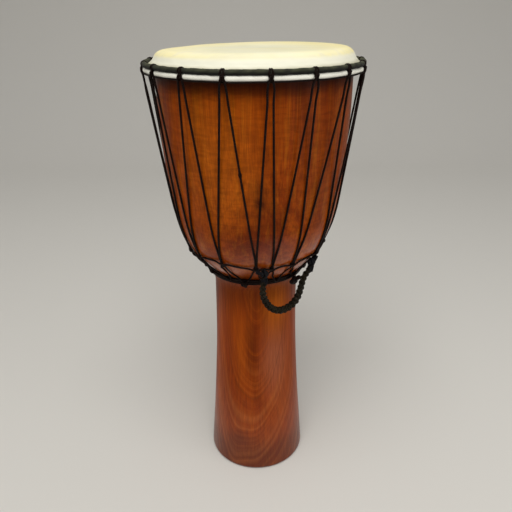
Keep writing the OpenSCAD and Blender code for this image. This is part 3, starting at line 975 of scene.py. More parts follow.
@dataclass
class Goblet:
    """The turned wooden shell, and the curve of its bowl that the lacing lies on."""

    foot_r: float = 71.0
    foot_round: float = 4.0
    foot_slope: Pair = (-7.0, 100.0)
    neck: Pair = (57.0, 292.0)
    neck_below: float = 120.0
    neck_above: float = 16.0
    under: Pair = (72.0, 328.0)
    under_slope: Pair = (22.0, 22.5)
    under_pull: Pair = (0.42, 1.05)
    shoulder: Pair = (108.5, 414.0)
    shoulder_slope: Pair = (4.5, 32.0)
    shoulder_pull: Pair = (1.0, 1.4)
    upright_depth: float = 34.0
    upright_lead: float = 100.0
    wall: float = 15.0
    edge_r: float = 12.0
    crest_r: float = 2.0
    bore_r: float = 44.0
    bore_top: float = 284.0
    bore_above: float = 34.0
    inner_pull: float = 1.5
    mouth_r: float = 56.0
    mouth_flare: float = 5.0
    mouth_h: float = 90.0
    segments: int = 288
    wobble: float = 0.12
    wobble_fade: float = 30.0
    dip_depth: float = 3.6
    dip_at: float = -115.0
    dip_narrow: float = 3.7
    dip_from: float = 70.0
    dip_inset: float = 75.0
    dip_below: float = 19.0
    dip_fade: float = 13.0
    rim_r: float = field(init=False)
    top_z: float = field(init=False)

    def __post_init__(self) -> None:
        """Reads the rim from the frame and sets up the outline's curves."""
        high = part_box("shell")[1]
        self.rim_r, self.top_z = high.x / MM, high.z / MM
        foot = np.array([self.foot_r, self.foot_round])
        neck, under, shoulder, under_slope, shoulder_slope = (np.array(pair) for pair in (
            self.neck, self.under, self.shoulder, self.under_slope, self.shoulder_slope))
        self.stem = [foot, foot + self.foot_slope, neck - [0, self.neck_below], neck]
        self.bowl = [
            [neck, neck + [0, self.neck_above], under - under_slope * self.under_pull[0], under],
            [under, under + under_slope * self.under_pull[1],
             shoulder - shoulder_slope * self.shoulder_pull[0], shoulder],
            [shoulder, shoulder + shoulder_slope * self.shoulder_pull[1],
             np.array([self.rim_r, self.top_z - self.upright_lead]),
             np.array([self.rim_r, self.top_z - self.upright_depth])]]

    @property
    def rim_centre(self) -> Array:
        """Middle of the rounded bearing edge, as radius and height."""
        return np.array([self.rim_r - self.edge_r, self.top_z - self.edge_r])

    def bowl_at(self, u: Number, rule: Callable[[Sequence, Array], Array] = bezier) -> Array:
        """Radius and height on the bowl: u 0 to 1 underside, 1 to 2 shoulder, 2 to 3 wall.

        Args:
            u: Place on the bowl.
            rule: What is worked out on the Bezier curve that u falls in.

        Returns:
            Two values along the last axis.
        """
        u = np.asarray(u, float)
        part = np.broadcast_to(np.clip(np.floor(u), 0, 2).astype(int)[None, ..., None],
                               (1, *u.shape, 2))
        made = np.stack([rule(curve, u - k) for k, curve in enumerate(self.bowl)])
        return np.take_along_axis(made, part, 0)[0]

    def bowl_slope(self, u: Number) -> Array:
        """Derivative of the bowl's curve by u."""
        return self.bowl_at(u, bezier_slope)

    def step(self, u: float, distance: Number) -> Array:
        """The place on the bowl that lies a short distance further up."""
        return u + np.asarray(distance) / np.linalg.norm(self.bowl_slope(u))

    def off_bowl(self, u: Number, offset: Number) -> Array:
        """Radius and height at a distance out from the bowl."""
        slope = unit(self.bowl_slope(u))
        out = np.stack([slope[..., 1], -slope[..., 0]], -1)
        return self.bowl_at(u) + np.asarray(offset)[..., None] * out

    def on_bowl(self, angle: Number, u: Number, offset: Number) -> Array:
        """Points at an angle, a place on the bowl and a distance out from it."""
        spot = self.off_bowl(u, offset)
        return around(angle, spot[..., 0], spot[..., 1])

    def profile(self) -> Array:
        """The closed section of the shell: up the outside, down the inside."""
        inner_wall = [p + [-self.wall, 0] for p in self.bowl[2]]
        shoulder = inner_wall[0]
        inner_bowl = [(self.bore_r, self.bore_top), (self.bore_r, self.bore_top + self.bore_above),
                      shoulder - np.array(self.shoulder_slope) * self.inner_pull, shoulder]
        mouth = [(self.mouth_r, 0), (self.mouth_r - self.mouth_flare, self.mouth_h / 3),
                 (self.bore_r, self.mouth_h * 2 / 3), (self.bore_r, self.mouth_h)]
        crest = [self.rim_r - self.wall + self.crest_r, self.top_z - self.crest_r]
        t = np.linspace(0, 1, 33)[1:]
        return np.vstack([
            arc([self.foot_r - self.foot_round, self.foot_round], [self.foot_round] * 2, -90, 0, 10),
            bezier(self.stem, np.linspace(0, 1, 61)[1:]), *(bezier(part, t) for part in self.bowl),
            arc(self.rim_centre, [self.edge_r] * 2, 0, 90, 14),
            arc(crest, [self.crest_r] * 2, 90, 180, 6), bezier(inner_wall, t[::-1]),
            bezier(inner_bowl, t[::-1]), bezier(mouth, np.linspace(0, 1, 17)[::-1])])

    def swell(self, angle: Array, at: Array) -> Array:
        """Hand-carved unevenness: slow waves round and up the outside, none at the foot and rim."""
        turn, z = np.radians(angle), at[..., 1]
        waves = ripples(turn, (1, 3, z / 61), (1, 5, 1 - z / 37), (0.7, 8, z / 19))
        fade = (np.clip(z / self.wobble_fade, 0, 1)
                * np.clip((self.top_z - self.wobble_fade - z) / self.wobble_fade, 0, 1))
        return self.wobble * waves * fade

    def dip(self, angle: Array, at: Array) -> Array:
        """How far the rim lies lower to the left and back: a cosine power, none inside and below."""
        away = np.radians(angle - self.dip_at)
        outer = np.clip((at[..., 0] - self.dip_from) / (self.rim_r - self.dip_inset), 0, 1)
        above = np.clip((at[..., 1] - self.top_z + self.dip_below) / self.dip_fade, 0, 1)
        fade = (outer * above) ** 2 * (3 - 2 * outer * above)
        return self.dip_depth * ((1 + np.cos(away)) / 2) ** self.dip_narrow * fade

    def build(self, finishes: Finishes) -> None:
        """The shell as one closed lathe surface."""
        shell = lathe(self.profile(), self.segments, True, self.swell, self.dip)
        add_piece("goblet_shell", [shell], finishes.wood, Slot.WOOD, "shell")


@dataclass
class Head:
    """The hide over the rim and rolled below, the wrapped crown ring and the ring under the roll."""

    goblet: Goblet
    skin_t: float = 1.0
    seat: float = 0.2
    leave: float = 27.0
    flare: Pairs = ((1.25, 0.7), (2.9, -1.5), (5.2, -3.7), (7.0, -5.4))
    roll_r: float = 3.7
    roll_turn: Pair = (96.0, -215.0)
    roll_out: float = 0.4
    roll_up: float = 2.5
    cloth_r: float = 3.05
    cloth_drop: float = 0.75
    wraps: int = 58
    wrap_steps: int = 12
    tube_steps: int = 20
    lap: float = 0.3
    line_r: float = 1.0
    line_in: float = 0.5
    line_below: float = 2.1
    crown: RingPlace = field(init=False)
    flesh: RingPlace = field(init=False)
    roll: Array = field(init=False)

    def __post_init__(self) -> None:
        """Reads the rings' places from the frame."""
        rod, self.flesh = RingPlace.of_node("crown_ring"), RingPlace.of_node("flesh_ring")
        self.crown = RingPlace(rod.radius, rod.height - self.cloth_drop, rod.thick)
        self.roll = np.array([self.flesh.radius + self.roll_out, self.flesh.height + self.roll_up])

    @property
    def roll_outer(self) -> float:
        """Radius of the roll's outside."""
        return float(self.roll[0] + self.roll_r)

    def skin_line(self) -> Array:
        """Middle line of the hide from the axis out over the rim, down, and round the roll."""
        centre, over = self.goblet.rim_centre, self.goblet.edge_r + self.seat + self.skin_t / 2
        top = np.stack([np.linspace(1, centre[0], 40), np.full(40, centre[1] + over)], 1)
        rim = arc(centre, [over] * 2, 90, self.leave, 24)
        rolled = arc(self.roll, [self.roll_r - self.skin_t / 2] * 2, *self.roll_turn, 52)
        flare = centre + [over, 0] + np.array(self.flare)
        fall = smooth_path(np.vstack([rim[-2:], flare, rolled[:2]]), 0.4)
        return np.vstack([top[:-1], rim[:-2], fall, rolled[2:]])

    def uneven(self, angle: Array, at: Array) -> Array:
        """Puckers of the hide where it is drawn in under the crown ring, and dents in the roll."""
        turn, z = np.radians(angle), at[..., 1]
        below = np.clip((self.goblet.top_z - 4 - z) / 10, 0, 1)
        return below * ripples(turn, (0.16, 23, 0.6 * np.sin(5 * turn)), (0.12, 41, z / 3), (0.1, 9, 2))

    def build_skin(self, finishes: Finishes) -> None:
        """The hide as a closed sheet of its own thickness."""
        line = self.skin_line()
        slope = unit(np.gradient(line, axis=0))
        out = np.stack([-slope[:, 1], slope[:, 0]], 1) * self.skin_t / 2
        section = np.vstack([line - out, (line + out)[::-1]])
        sheet = lathe(section, self.goblet.segments, False, self.uneven, self.goblet.dip)
        add_piece("hide_head", [sheet], finishes.hide, Slot.HIDE, "drum_skin")

    def build_crown(self, finishes: Finishes) -> None:
        """The cloth on the crown ring: a tube whose strip laps over itself turn by turn.

        Columns follow the strip's edge round the tube, so each lap is a clean step. One way
        round the tube brings a column to the next turn, which the slip joins.
        """
        count = self.wraps * self.wrap_steps
        around_tube = np.arange(self.tube_steps)[:, None] * TURN / self.tube_steps
        column = np.arange(count)[None, :]
        angle = 360 * column / count + np.degrees(around_tube) / self.wraps
        lap = self.lap * (1 - column % self.wrap_steps / self.wrap_steps) ** 0.8
        uneven = ripples(np.radians(angle), (0.12, 13, around_tube), (0.1, 37, 0))
        size = self.cloth_r - self.lap / 2 + lap + uneven
        points = around(angle, self.crown.radius + size * np.cos(around_tube),
                        self.crown.height + size * np.sin(around_tube))
        rows_at = np.arange(self.tube_steps + 1) / self.tube_steps
        tube = Surface(points, wrap_rows=True, slip=self.wrap_steps, rows_at=rows_at)
        add_piece("crown_cloth", [tube], finishes.cloth, Slot.CLOTH, "crown_wrap")

    def build_line(self, finishes: Finishes) -> None:
        """The thin black ring drawn up against the roll from below."""
        angle = np.arange(720) * 0.5
        turn = np.radians(angle)
        height = (self.roll[1] - self.line_below - self.line_r
                  + ripples(turn, (0.16, 7, 0), (0.12, 17, 1), (0.25, 1, -1.2)))
        radius = self.roll_outer - self.line_in + ripples(turn, (0.12, 11, 0))
        ring = sweep(around(angle, radius, height), self.line_r, 12, True)
        add_piece("under_cord", [ring], finishes.thin, Slot.CLOTH, "under_ring")

    def build(self, finishes: Finishes) -> None:
        """All of the head, with the two steel rods inside the cloth and inside the roll."""
        self.build_skin(finishes)
        self.build_crown(finishes)
        self.build_line(finishes)
        angle = np.arange(0, 360, 1.5)
        for name, place, thick in (
                ("crown", (self.crown.radius, self.crown.height), self.crown.thick),
                ("flesh", tuple(self.roll), self.flesh.thick)):
            rod = sweep(around(angle, *place), thick / 2, 16, True)
            add_piece(f"{name}_rod", [rod], finishes.steel, Slot.STEEL, f"{name}_ring")


@dataclass
class Lacing:
    """Hitches on the crown ring, the tuning rope, the cradle loops, the girdle and the neck band."""

    goblet: Goblet
    head: Head
    hitches: int = 17
    first_hitch: float = 7.3
    tip_shift: Floats = (
        -4.8, -8.2, -2.3, 2, -3, 1, -2, 3.5, -1.5, 2.5, -3.5, 1.5, -1, 3, -4.4, -2.2, 3.6)
    tip_rise: Floats = (
        -3, 0, 0, 0.8, -0.6, 0.5, -1, 0.7, 0, -0.8, 0.6, 1, -0.5, 0.4, -0.8, 3, 0)
    rope_r: float = 1.25
    loop_r: float = 1.05
    girdle_r: float = 1.2
    band_r: float = 1.55
    band_rows: Floats = (-6.2, -3.0, 1.9)
    seat: float = 0.2
    hug: float = 0.12
    link_amp: float = 0.9
    stagger: float = 0.5
    link_depth: float = 1.8
    link_side: Pairs = ((1.42, 1.1), (1.0, 0.1), (0.7, -0.75))
    crown_half: float = 1.2
    rope_half: float = 1.35
    crown_link_out: float = 0.9
    crown_link_rise: float = 0.5
    strand_half: float = 2.4
    strand_from: float = 5.0
    strand_on: Pair = (1.42, 2.0)
    strand_end: Pair = (-0.3, -3.6)
    strand_fade: float = 0.25
    strand_lean: float = 0.6
    strand_apart: float = 0.8
    cradle_half: float = 1.6
    cradle_link_u: float = 1.27
    apex_rise: float = 9.5
    hitch_start: float = -32.0
    hitch_step: float = 46.0
    hitch_half: float = 2.6
    hitch_leg: float = 0.95
    hitch_sunk: float = 1.0
    hitch_under: Pair = (0.4, 2.8)
    hitch_narrow: Pair = (2.4, 1.4)
    hitch_bar: float = 0.4
    girdle_line: Pairs = (
        (-180, 354.5), (-90, 353.5), (-41, 353.4), (-30, 355), (-24, 353.6), (-17, 350.4),
        (-8, 348.5), (0, 348), (10, 347.5), (20, 348.2), (31, 349.3), (43, 351), (70, 353),
        (120, 354.5), (180, 354.5))
    girdle_off: float = 1.45
    girdle_lift: float = 2.6
    girdle_rise: float = 4.5
    band_u: float = 0.75
    foot_gap: float = 0.75
    foot_lean: Floats = (0,) * 14 + (11, 2.2, 1)
    leg_from: float = 7.5
    leg_lift: float = 0.2
    leg_curve: float = 1.25
    splice_z: float = 475.5
    splice_half: float = 2.2
    splice_swell: float = 0.75
    step: float = 1.1

    @property
    def crown_link(self) -> Array:
        """Radius and height of the links in front of the roll."""
        return np.array([self.head.roll_outer + self.crown_link_out,
                         self.head.roll[1] + self.crown_link_rise])

    def hitch_angle(self, i: float) -> float:
        """Angle of a hitch."""
        return self.first_hitch + i * (360 / self.hitches)

    def tip_angle(self, i: int) -> float:
        """Angle of the rope's lower turn after a hitch, as the hand that laced it left it."""
        return self.hitch_angle(i + 0.5) + self.tip_shift[i % self.hitches]

    def tip_u(self, i: int) -> float:
        """Place on the bowl of the rope's lower turn after a hitch."""
        return float(self.goblet.step(self.cradle_link_u, self.tip_rise[i % self.hitches]))

    def foot_angle(self, i: int, side: Side) -> float:
        """Angle at which a leg of a cradle loop meets the neck band, beside its neighbour's leg."""
        gap = i if side is Side.RIGHT else i - 1
        middle = (self.tip_angle(gap) + self.tip_angle(gap + 1)) / 2
        return middle + self.foot_lean[gap % self.hitches] - side.value * self.foot_gap

    def tilt(self, across: Array, half: float) -> Array:
        """How far a turn in a link leans out on one side and in on the other."""
        return self.link_amp * np.clip(across / half, -1, 1)

    @staticmethod
    def beside(angle: float, across: Array, radius: Array, height: Array) -> Array:
        """Points at a distance across from an angle's own radial plane."""
        turn = math.radians(angle)
        right = np.array([math.cos(turn), math.sin(turn), 0])
        return around(angle, radius, height) + np.asarray(across)[..., None] * right

    def link_turn(self, half: float) -> Array:
        """One turn in a link, left side to right side: distances across and along."""
        side = np.array(self.link_side) * [half, self.link_depth]
        return np.vstack([side * [-1, 1], [[0, -self.link_depth]], side[::-1]])

    def crown_turn(self, i: int, half: float, up: int) -> Array:
        """A turn in a link at the crown: the rope's with up -1, the crown loop's with up 1."""
        turn = self.link_turn(half)
        link_r, link_z = self.crown_link
        return self.beside(self.hitch_angle(i), turn[:, 0],
                           link_r + up * self.tilt(turn[:, 0], half), link_z + up * turn[:, 1])

    def cradle_turn(self, i: int, up: int) -> Array:
        """A turn in the link on the bowl: the rope's with up 1, the cradle loop's with up -1."""
        turn = self.link_turn(self.cradle_half)
        u = self.goblet.step(self.tip_u(i), up * turn[:, 1])
        off = self.hug + self.rope_r + self.link_amp
        spot = self.goblet.off_bowl(u, off + up * self.tilt(turn[:, 0], self.cradle_half))
        return self.beside(self.tip_angle(i), turn[:, 0], spot[:, 0], spot[:, 1])

    def hitch_path(self, i: int) -> Array:
        """Line of a cow hitch: a bar in front, two turns over the ring, and down to the link."""
        angle, crown = self.hitch_angle(i), self.head.crown
        wrap_r = self.head.cloth_r + self.loop_r - self.hitch_sunk
        count = np.arange(0, 5.51, 0.5)
        turn = np.radians(self.hitch_start + count * self.hitch_step)
        spread = np.clip(1 - count / self.hitch_narrow[0], 0, 1) ** self.hitch_narrow[1]
        across = self.hitch_leg + (self.hitch_half - self.hitch_leg) * spread
        radius = crown.radius + np.append(wrap_r * np.cos(turn), self.hitch_under)
        height = crown.height + wrap_r * np.append(np.sin(turn), (-1, -1))
        across = np.append(across, [self.hitch_leg] * 2)
        left, right = (self.beside(angle, s.value * across, radius, height) for s in Side)
        bar = self.beside(angle, np.zeros(1), radius[:1] + self.hitch_bar, height[:1])
        return np.vstack([bar, left, self.crown_turn(i, self.crown_half, 1), right[::-1]])

    def strand(self, i: int, side: Side) -> Array:
        """A strand from a cradle link up the bowl and straight on to the crown link on one side.

        On a round surface a tight rope turns about the axis by an angle that grows with the
        length divided by the radius squared. Close to the link both strands lie side by side.
        """
        goblet, (link_r, link_z), base = self.goblet, self.crown_link, self.tip_u(i)
        low, high = self.tip_angle(i), self.hitch_angle(i + (side is Side.RIGHT))
        stop = high - side.value * math.degrees(self.strand_half / link_r)
        u = np.append(goblet.step(base, self.strand_from), np.linspace(*self.strand_on, 9))
        fade = np.clip(1 - (u - u[0]) / self.strand_fade, 0, 1)
        on = goblet.off_bowl(u, self.rope_r + self.hug + (1 + side.value) * self.stagger * fade)
        lean = self.strand_lean * side.value * self.link_amp
        end = np.array([link_r + self.strand_end[0] + lean, link_z + self.strand_end[1]])
        line = np.vstack([on, on[-1] + np.linspace(0, 1, 8)[1:, None] * (end - on[-1])])
        length = np.linalg.norm(np.diff(line, axis=0), axis=1)
        turned = np.concatenate([[0], np.cumsum(length / (line[1:, 0] * line[:-1, 0]))])
        apex = np.interp(goblet.bowl_at(base)[1] + self.apex_rise, line[:, 1], turned)
        share = (turned - apex) / (turned[-1] - apex)
        least = np.degrees(self.rope_r * self.strand_apart / line[:, 0])
        angle = low + side.value * np.maximum(side.value * (stop - low) * share, least)
        return around(angle, line[:, 0], line[:, 1])

    def rope_path(self) -> Array:
        """The tuning rope's closed line: up, through a crown loop, down, through a cradle loop."""
        return smooth_path(np.vstack([part for i in range(self.hitches) for part in (
            self.crown_turn(i, self.rope_half, -1), self.strand(i, Side.LEFT)[::-1],
            self.cradle_turn(i, 1), self.strand(i, Side.RIGHT))]), self.step, closed=True)

    def cradle_path(self, i: int) -> Array:
        """A cradle loop: up from the band, through the rope's turn, and down again."""
        goblet, base, low = self.goblet, self.tip_u(i), self.loop_r + self.seat
        top, gap = self.band_rows[-1], (self.band_rows[-1] + self.band_rows[-2]) / 2
        over = self.seat + 2 * self.band_r + self.loop_r
        rise = np.array([[top + 7, 0.1], [top + 4.2, 0.45], [top + 1.8, 0.9], [top, 1.02],
                         [(top + gap) / 2, 0.8], [gap - 0.2, 0.4], [gap - 0.8, 0.0]])
        u = np.append(goblet.step(base, -self.leg_from), goblet.step(self.band_u, rise[:, 0]))
        lift = low + np.append(self.leg_lift, rise[:, 1]) * (over - low)
        share = np.clip((base - u) / (base - u[4]), 0, 1) ** self.leg_curve
        reach = math.degrees(self.link_side[0][0] * self.cradle_half / goblet.bowl_at(base)[0])
        legs = []
        for s in Side:
            start, stop = self.tip_angle(i) + s.value * reach, self.foot_angle(i, s)
            legs.append(goblet.on_bowl(start + (stop - start) * share, u, lift))
        line = np.vstack([legs[0][::-1], self.cradle_turn(i, -1), legs[1]])
        return smooth_path(line, self.step * 0.8)

    def rope_size(self, path: Array) -> Array:
        """Radii along the rope, thicker where a splice sits on one strand at the front."""
        angle = np.degrees(np.arctan2(path[:, 0], -path[:, 1]))
        strand = (angle > self.hitch_angle(-1)) & (angle < self.tip_angle(-1))
        leaning = np.gradient(angle) / np.maximum(np.abs(np.gradient(path[:, 2])), 1e-6)
        bulge = np.exp(-((path[:, 2] - self.splice_z) / self.splice_half) ** 2)
        return self.rope_r * (1 + self.splice_swell * bulge * (strand & (np.abs(leaning) > 0.03)))

    def build(self, finishes: Finishes) -> None:
        """All of the lacing."""
        for i in range(self.hitches):
            hitch = closed_cord(self.hitch_path(i), 0.7, self.loop_r, 12, braided(0.06, 6.0))
            loop = cut_cord(self.cradle_path(i), self.loop_r, 1.2, 12, braided(0.06, 5.0))
            for name, cord, node in (("hitch", hitch, "crown"), ("cradle", loop, "cradle")):
                add_piece(f"{name}_cord_{i + 1:02d}", [cord], finishes.thin, Slot.ROPE,
                          f"{node}_loop_{i + 1:02d}")
        path = self.rope_path()
        rope = sweep(path, self.rope_size(path), 12, True, braided(0.05, 7.0))
        add_piece("lacing_rope", [rope], finishes.rope, Slot.ROPE, "tuning_rope")
        self.build_girdle(finishes)
        self.build_band(finishes)

    def build_girdle(self, finishes: Finishes) -> None:
        """The thin cord round the lacing, lower in front, that passes over the rope's lower turns."""
        angle = np.arange(-180, 180, 0.75)
        height = np.interp(angle, *np.array(self.girdle_line, float).T)
        window = np.hanning(13) / np.hanning(13).sum()
        height = np.convolve(np.concatenate([height[-6:], height, height[:6]]), window, "valid")
        tips = np.array([self.tip_angle(i) for i in range(self.hitches)])
        away = np.abs((angle[:, None] - tips[None] + 180) % 360 - 180).min(1)
        off = self.girdle_off + self.girdle_lift * np.exp(-(away / self.girdle_rise) ** 2)
        u = np.linspace(1.0, 1.7, 400)
        u_height = self.goblet.off_bowl(u, np.full(400, self.girdle_off + 1.5))[:, 1]
        path = self.goblet.on_bowl(angle, np.interp(height, u_height, u), off)
        ring = closed_cord(path, self.step, self.girdle_r, 10, twisted(0.16, 8.0))
        add_piece("girdle", [ring], finishes.thin, Slot.ROPE, "girdle_cord")

    def build_band(self, finishes: Finishes) -> None:
        """The band at the neck: turns of rope, two close together and one just above."""
        surfaces = []
        angle = np.arange(0, 360, 1.0)
        for k, row in enumerate(self.band_rows):
            weave = ripples(np.radians(angle), (0.25, 5, 2 * k), (0.2, 11, k))
            u = self.goblet.step(self.band_u, row + weave)
            path = self.goblet.on_bowl(angle, u, np.full(len(angle), self.seat + self.band_r))
            surfaces.append(closed_cord(path, 1.0, self.band_r, 12, braided(0.07, 7.0)))
        add_piece("neck_coil", surfaces, finishes.rope, Slot.ROPE, "neck_band")


@dataclass
class CarryHandle:
    """The braided handle, its eyes, and the lashings that the eyes turn on."""

    lacing: Lacing
    joint: Dict[str, object]
    diameter: float = 8.0
    strand_r: float = 1.55
    strand_flat: Pair = (0.85, 1.15)
    strand_mid: float = 2.2
    strand_wave: float = 0.75
    core_share: float = 0.8
    braid_pitch: float = 13.0
    belly: float = 0.26
    eye_r: float = 4.5
    eye_cord_r: float = 1.8
    whip_r: float = 0.7
    whip: Pair = (1.4, 8.5)
    whip_in: float = 0.4
    whip_turns: float = 5.0
    whip_aim: int = 6
    stub_r: float = 2.4
    lash_r: float = 1.1
    lash_half: float = 4.2
    lash_gap: float = 2.0
    lash_turns: Pair = (5.0, 1.9)
    lash_sink: Pair = (0.05, 1.1)
    lash_in: float = 0.4
    tie_r: float = 0.85
    tie_core: float = 1.5
    tie_coil: Pair = (1.8, 5.5)
    tie_spot: Pair = (1.5, 5.6)
    tie_in: float = 0.8
    tips: Tuple[int, int] = (-1, 2)
    route: Pairs = (
        (0.3, 2), (0.2, -0.7), (-0.5, -5), (-1.4, -9), (-2, -13), (-2.2, -17), (-1.8, -21.4),
        (-0.8, -26), (0.9, -30.6), (3.3, -35.5), (6.7, -40.6), (11.3, -45.6), (16.4, -49.3),
        (22, -51.6), (28, -52.4), (34.6, -51.5), (40.4, -49.2), (45.2, -45.8), (48.7, -41.8),
        (51.1, -37.5), (52.9, -33), (54.3, -28.6), (55.6, -24.2), (56.9, -19.4), (58.4, -14.8),
        (60.6, -10.8), (63.7, -7.5), (66.8, -4.5), (69.2, -0.9), (70, 2))

    def __post_init__(self) -> None:
        """Reads the hinge from the frame."""
        self.along = -np.array(self.joint["axis"], float)
        self.along /= np.linalg.norm(self.along)
        low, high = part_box("handle_eye_right")
        self.centres = {Side.LEFT: np.array(self.joint["pos_m"], float) / MM,
                        Side.RIGHT: np.array((low + high) / 2) / MM}

    def path(self) -> Array:
        """Middle line of the handle: the route's own points on one smooth curve."""
        knots = np.array(self.route, float)
        drop = knots[:, 1:] - (self.eye_r + self.eye_cord_r)
        return smooth_path(self.centres[Side.LEFT] + knots[:, :1] * self.along + drop * UP, 0.5)

    def strands(self, path: Array) -> List[Surface]:
        """Four flat strands of a round braid: two turn each way, over one and under the next.

        A strand lies at angle a or -a, and at radius m + w cos 2a or m - w cos 2a.
        """
        _, normal, binormal = carried_frames(path, False)
        along = lengths_along(path)
        turn = TURN * along / self.braid_pitch
        full = 1 + self.belly * np.sin(math.pi * along / along[-1]) ** 2
        made = []
        for way, start in ((1, 0.0), (1, math.pi), (-1, 0.0), (-1, math.pi)):
            angle = (way * turn + start)[:, None]
            outwards = np.cos(angle) * normal + np.sin(angle) * binormal
            radius = full * (self.strand_mid + way * self.strand_wave * np.cos(2 * turn))
            line = path + radius[:, None] * outwards
            made.append(sweep(line, full * tapered(line, self.strand_r, 1.5), 12,
                              flat=self.strand_flat, facing=outwards))
        return [*made, sweep(path, self.strand_mid * self.core_share * full, 10)]

    def turned(self, centre: Array, across: Number, radius: float, angle: Array) -> Array:
        """Points about the hinge line: a distance along it, a radius and an angle about it."""
        out = np.cross(UP, self.along)
        across = np.broadcast_to(across, angle.shape)
        return (centre + across[:, None] * self.along
                + radius * (np.sin(angle)[:, None] * UP + np.cos(angle)[:, None] * out))

    def build_handle(self, finishes: Finishes) -> None:
        """The braid, with an eye at each end."""
        path = self.path()
        piece = add_piece("handle_braid", self.strands(path), finishes.braid, Slot.BRAID,
                          "carry_handle", Body.HANDLE)
        eyes = [self.build_eye(finishes, side, line[0], line[self.whip_aim])
                for side, line in ((Side.LEFT, path), (Side.RIGHT, path[::-1]))]
        points = path * MM
        tuple(points[0])

    @staticmethod
    def coil(start: Array, stop: Array, radius: float, cord: float, turns: float) -> Surface:
        """Cord wound round a straight line from one point to another."""
        _, normal, binormal = carried_frames(np.stack([start, (start + stop) / 2, stop]), False)
        wind = np.linspace(0, turns * TURN, int(turns * 36))
        share = (wind / wind[-1])[:, None]
        line = (start + share * (stop - start)
                + radius * (np.cos(wind)[:, None] * normal[0] + np.sin(wind)[:, None] * binormal[0]))
        return cut_cord(line, cord, 1.0, 8)

    def build_eye(self, finishes: Finishes, side: Side, end: Array, inner: Array) -> Piece:
        """An eye of laid strands, with a whipping that binds the braid below it."""
        angle = np.linspace(0, TURN, 60, endpoint=False)
        ring = self.turned(self.centres[side], 0.0, self.eye_r, angle)
        start, stop = (end + far * unit(inner - end) for far in self.whip)
        surfaces = [sweep(ring, self.eye_cord_r, 14, True, twisted(0.22, 9.4)),
                    self.coil(start, stop, self.diameter / 2 - self.whip_in, self.whip_r,
                              self.whip_turns)]
        name = side.name.lower()
        return add_piece(f"handle_loop_{name}", surfaces, finishes.tie, Slot.BRAID,
                         f"handle_eye_{name}", Body.HANDLE)

    def build_lashing(self, finishes: Finishes, side: Side, tip: int) -> None:
        """Cord wound on the hinge line, beside the eye and through it, and tied to a lower turn."""
        goblet, centre, half = self.lacing.goblet, self.centres[side], self.lash_half
        through, beside = self.lash_turns
        windings = [(through, np.linspace(-half, half, 200),
                     self.stub_r - self.lash_r - self.lash_sink[0])]
        for end in Side:
            outside = end.value * np.linspace(self.lash_gap + self.lash_r, half - self.lash_in, 90)
            windings.append((beside, outside, self.stub_r + self.lash_r - self.lash_sink[1]))
        surfaces = []
        for turns, across, radius in windings:
            wind = np.linspace(0, turns * TURN, len(across))
            line = self.turned(centre, across, radius, wind)
            surfaces.append(cut_cord(line, self.lash_r, 1.2, 10, braided(0.06, 5.0)))
        up, out = self.tie_spot
        knot = goblet.on_bowl(self.lacing.tip_angle(tip), goblet.step(self.lacing.tip_u(tip), up), out)
        stub = centre + side.value * (half - self.tie_in) * self.along
        surfaces += [self.coil(knot, stub, self.tie_coil[0], self.tie_r, self.tie_coil[1]),
                     sweep(evenly(np.stack([knot, stub]), 0.8), self.tie_core, 10)]
        name = side.name.lower()
        add_piece(f"lashing_{name}", surfaces, finishes.tie, Slot.ROPE, f"handle_lashing_{name}")

    def build(self, finishes: Finishes) -> None:
        """The handle, its eyes and both lashings."""
        self.build_handle(finishes)
        for side, tip in zip(Side, self.tips):
            self.build_lashing(finishes, side, tip)


@dataclass
class TailKnots:
    """Overhand knots in the tails of the cords at the neck.

    Attributes:
        lacing: The lacing whose tails they are.
        size: Size of the knot's line for each radius of its cord.
        core: Radius of the filling for each radius of the cord.
        flat: How far the line goes in and out.
        knots: Name, radius, length of the cut end, and shift to the right and up.
    """

    lacing: Lacing
    size: float = 1.1
    core: float = 1.55
    flat: float = 0.6
    knots: Tuple[Tuple[str, float, float, Pair], ...] = (
        ("front", 1.3, 3.5, (0.0, 2.4)), ("right", 2.2, 3.6, (-2.3, -1.0)))

    def axes(self, centre: Array) -> Array:
        """Right, up and outwards on the drum's surface at the band."""
        slope = unit(self.lacing.goblet.bowl_slope(self.lacing.band_u))
        out = unit(np.array([centre[0], centre[1], 0]))
        outwards, upwards = out * slope[1] - UP * slope[0], UP * slope[1] + out * slope[0]
        return np.stack([np.cross(upwards, outwards), upwards, outwards])

    def path(self, centre: Array, radius: float) -> Array:
        """A trefoil line, (sin t + 2 sin 2t, cos t - 2 cos 2t, -f sin 3t), flat against the drum."""
        t = np.linspace(0, TURN, 120, endpoint=False)
        shape = radius * self.size * np.stack([
            np.sin(t) + 2 * np.sin(2 * t), np.cos(t) - 2 * np.cos(2 * t),
            -self.flat * np.sin(3 * t)], 1)
        return centre + shape @ self.axes(centre)

    def build(self, finishes: Finishes) -> None:
        """Both knots, where the frame has them, each with a short cut end."""
        weave = braided(0.06, 6.0)
        for name, radius, tail, shift in self.knots:
            low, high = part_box(f"tail_knot_{name}")
            centre = np.array((low + high) / 2) / MM
            right, up, out = self.axes(centre)
            centre = centre + shift[0] * right + shift[1] * up
            end = smooth_path(centre + tail * np.stack([
                0 * up, 0.35 * right - 0.8 * up, 0.6 * right - 1.3 * up - 0.2 * out]), 0.6)
            middle = evenly(centre + np.stack([-up, 0 * up, up]) * radius * 2, 0.5)
            surfaces = [closed_cord(self.path(centre, radius), 0.6, radius, 12, weave),
                        cut_cord(end, radius * 0.9, 1.0, 12, weave),
                        cut_cord(middle, radius * self.core, radius * 2, 14)]
            add_piece(f"knot_{name}", surfaces, finishes.rope, Slot.ROPE, f"tail_knot_{name}")


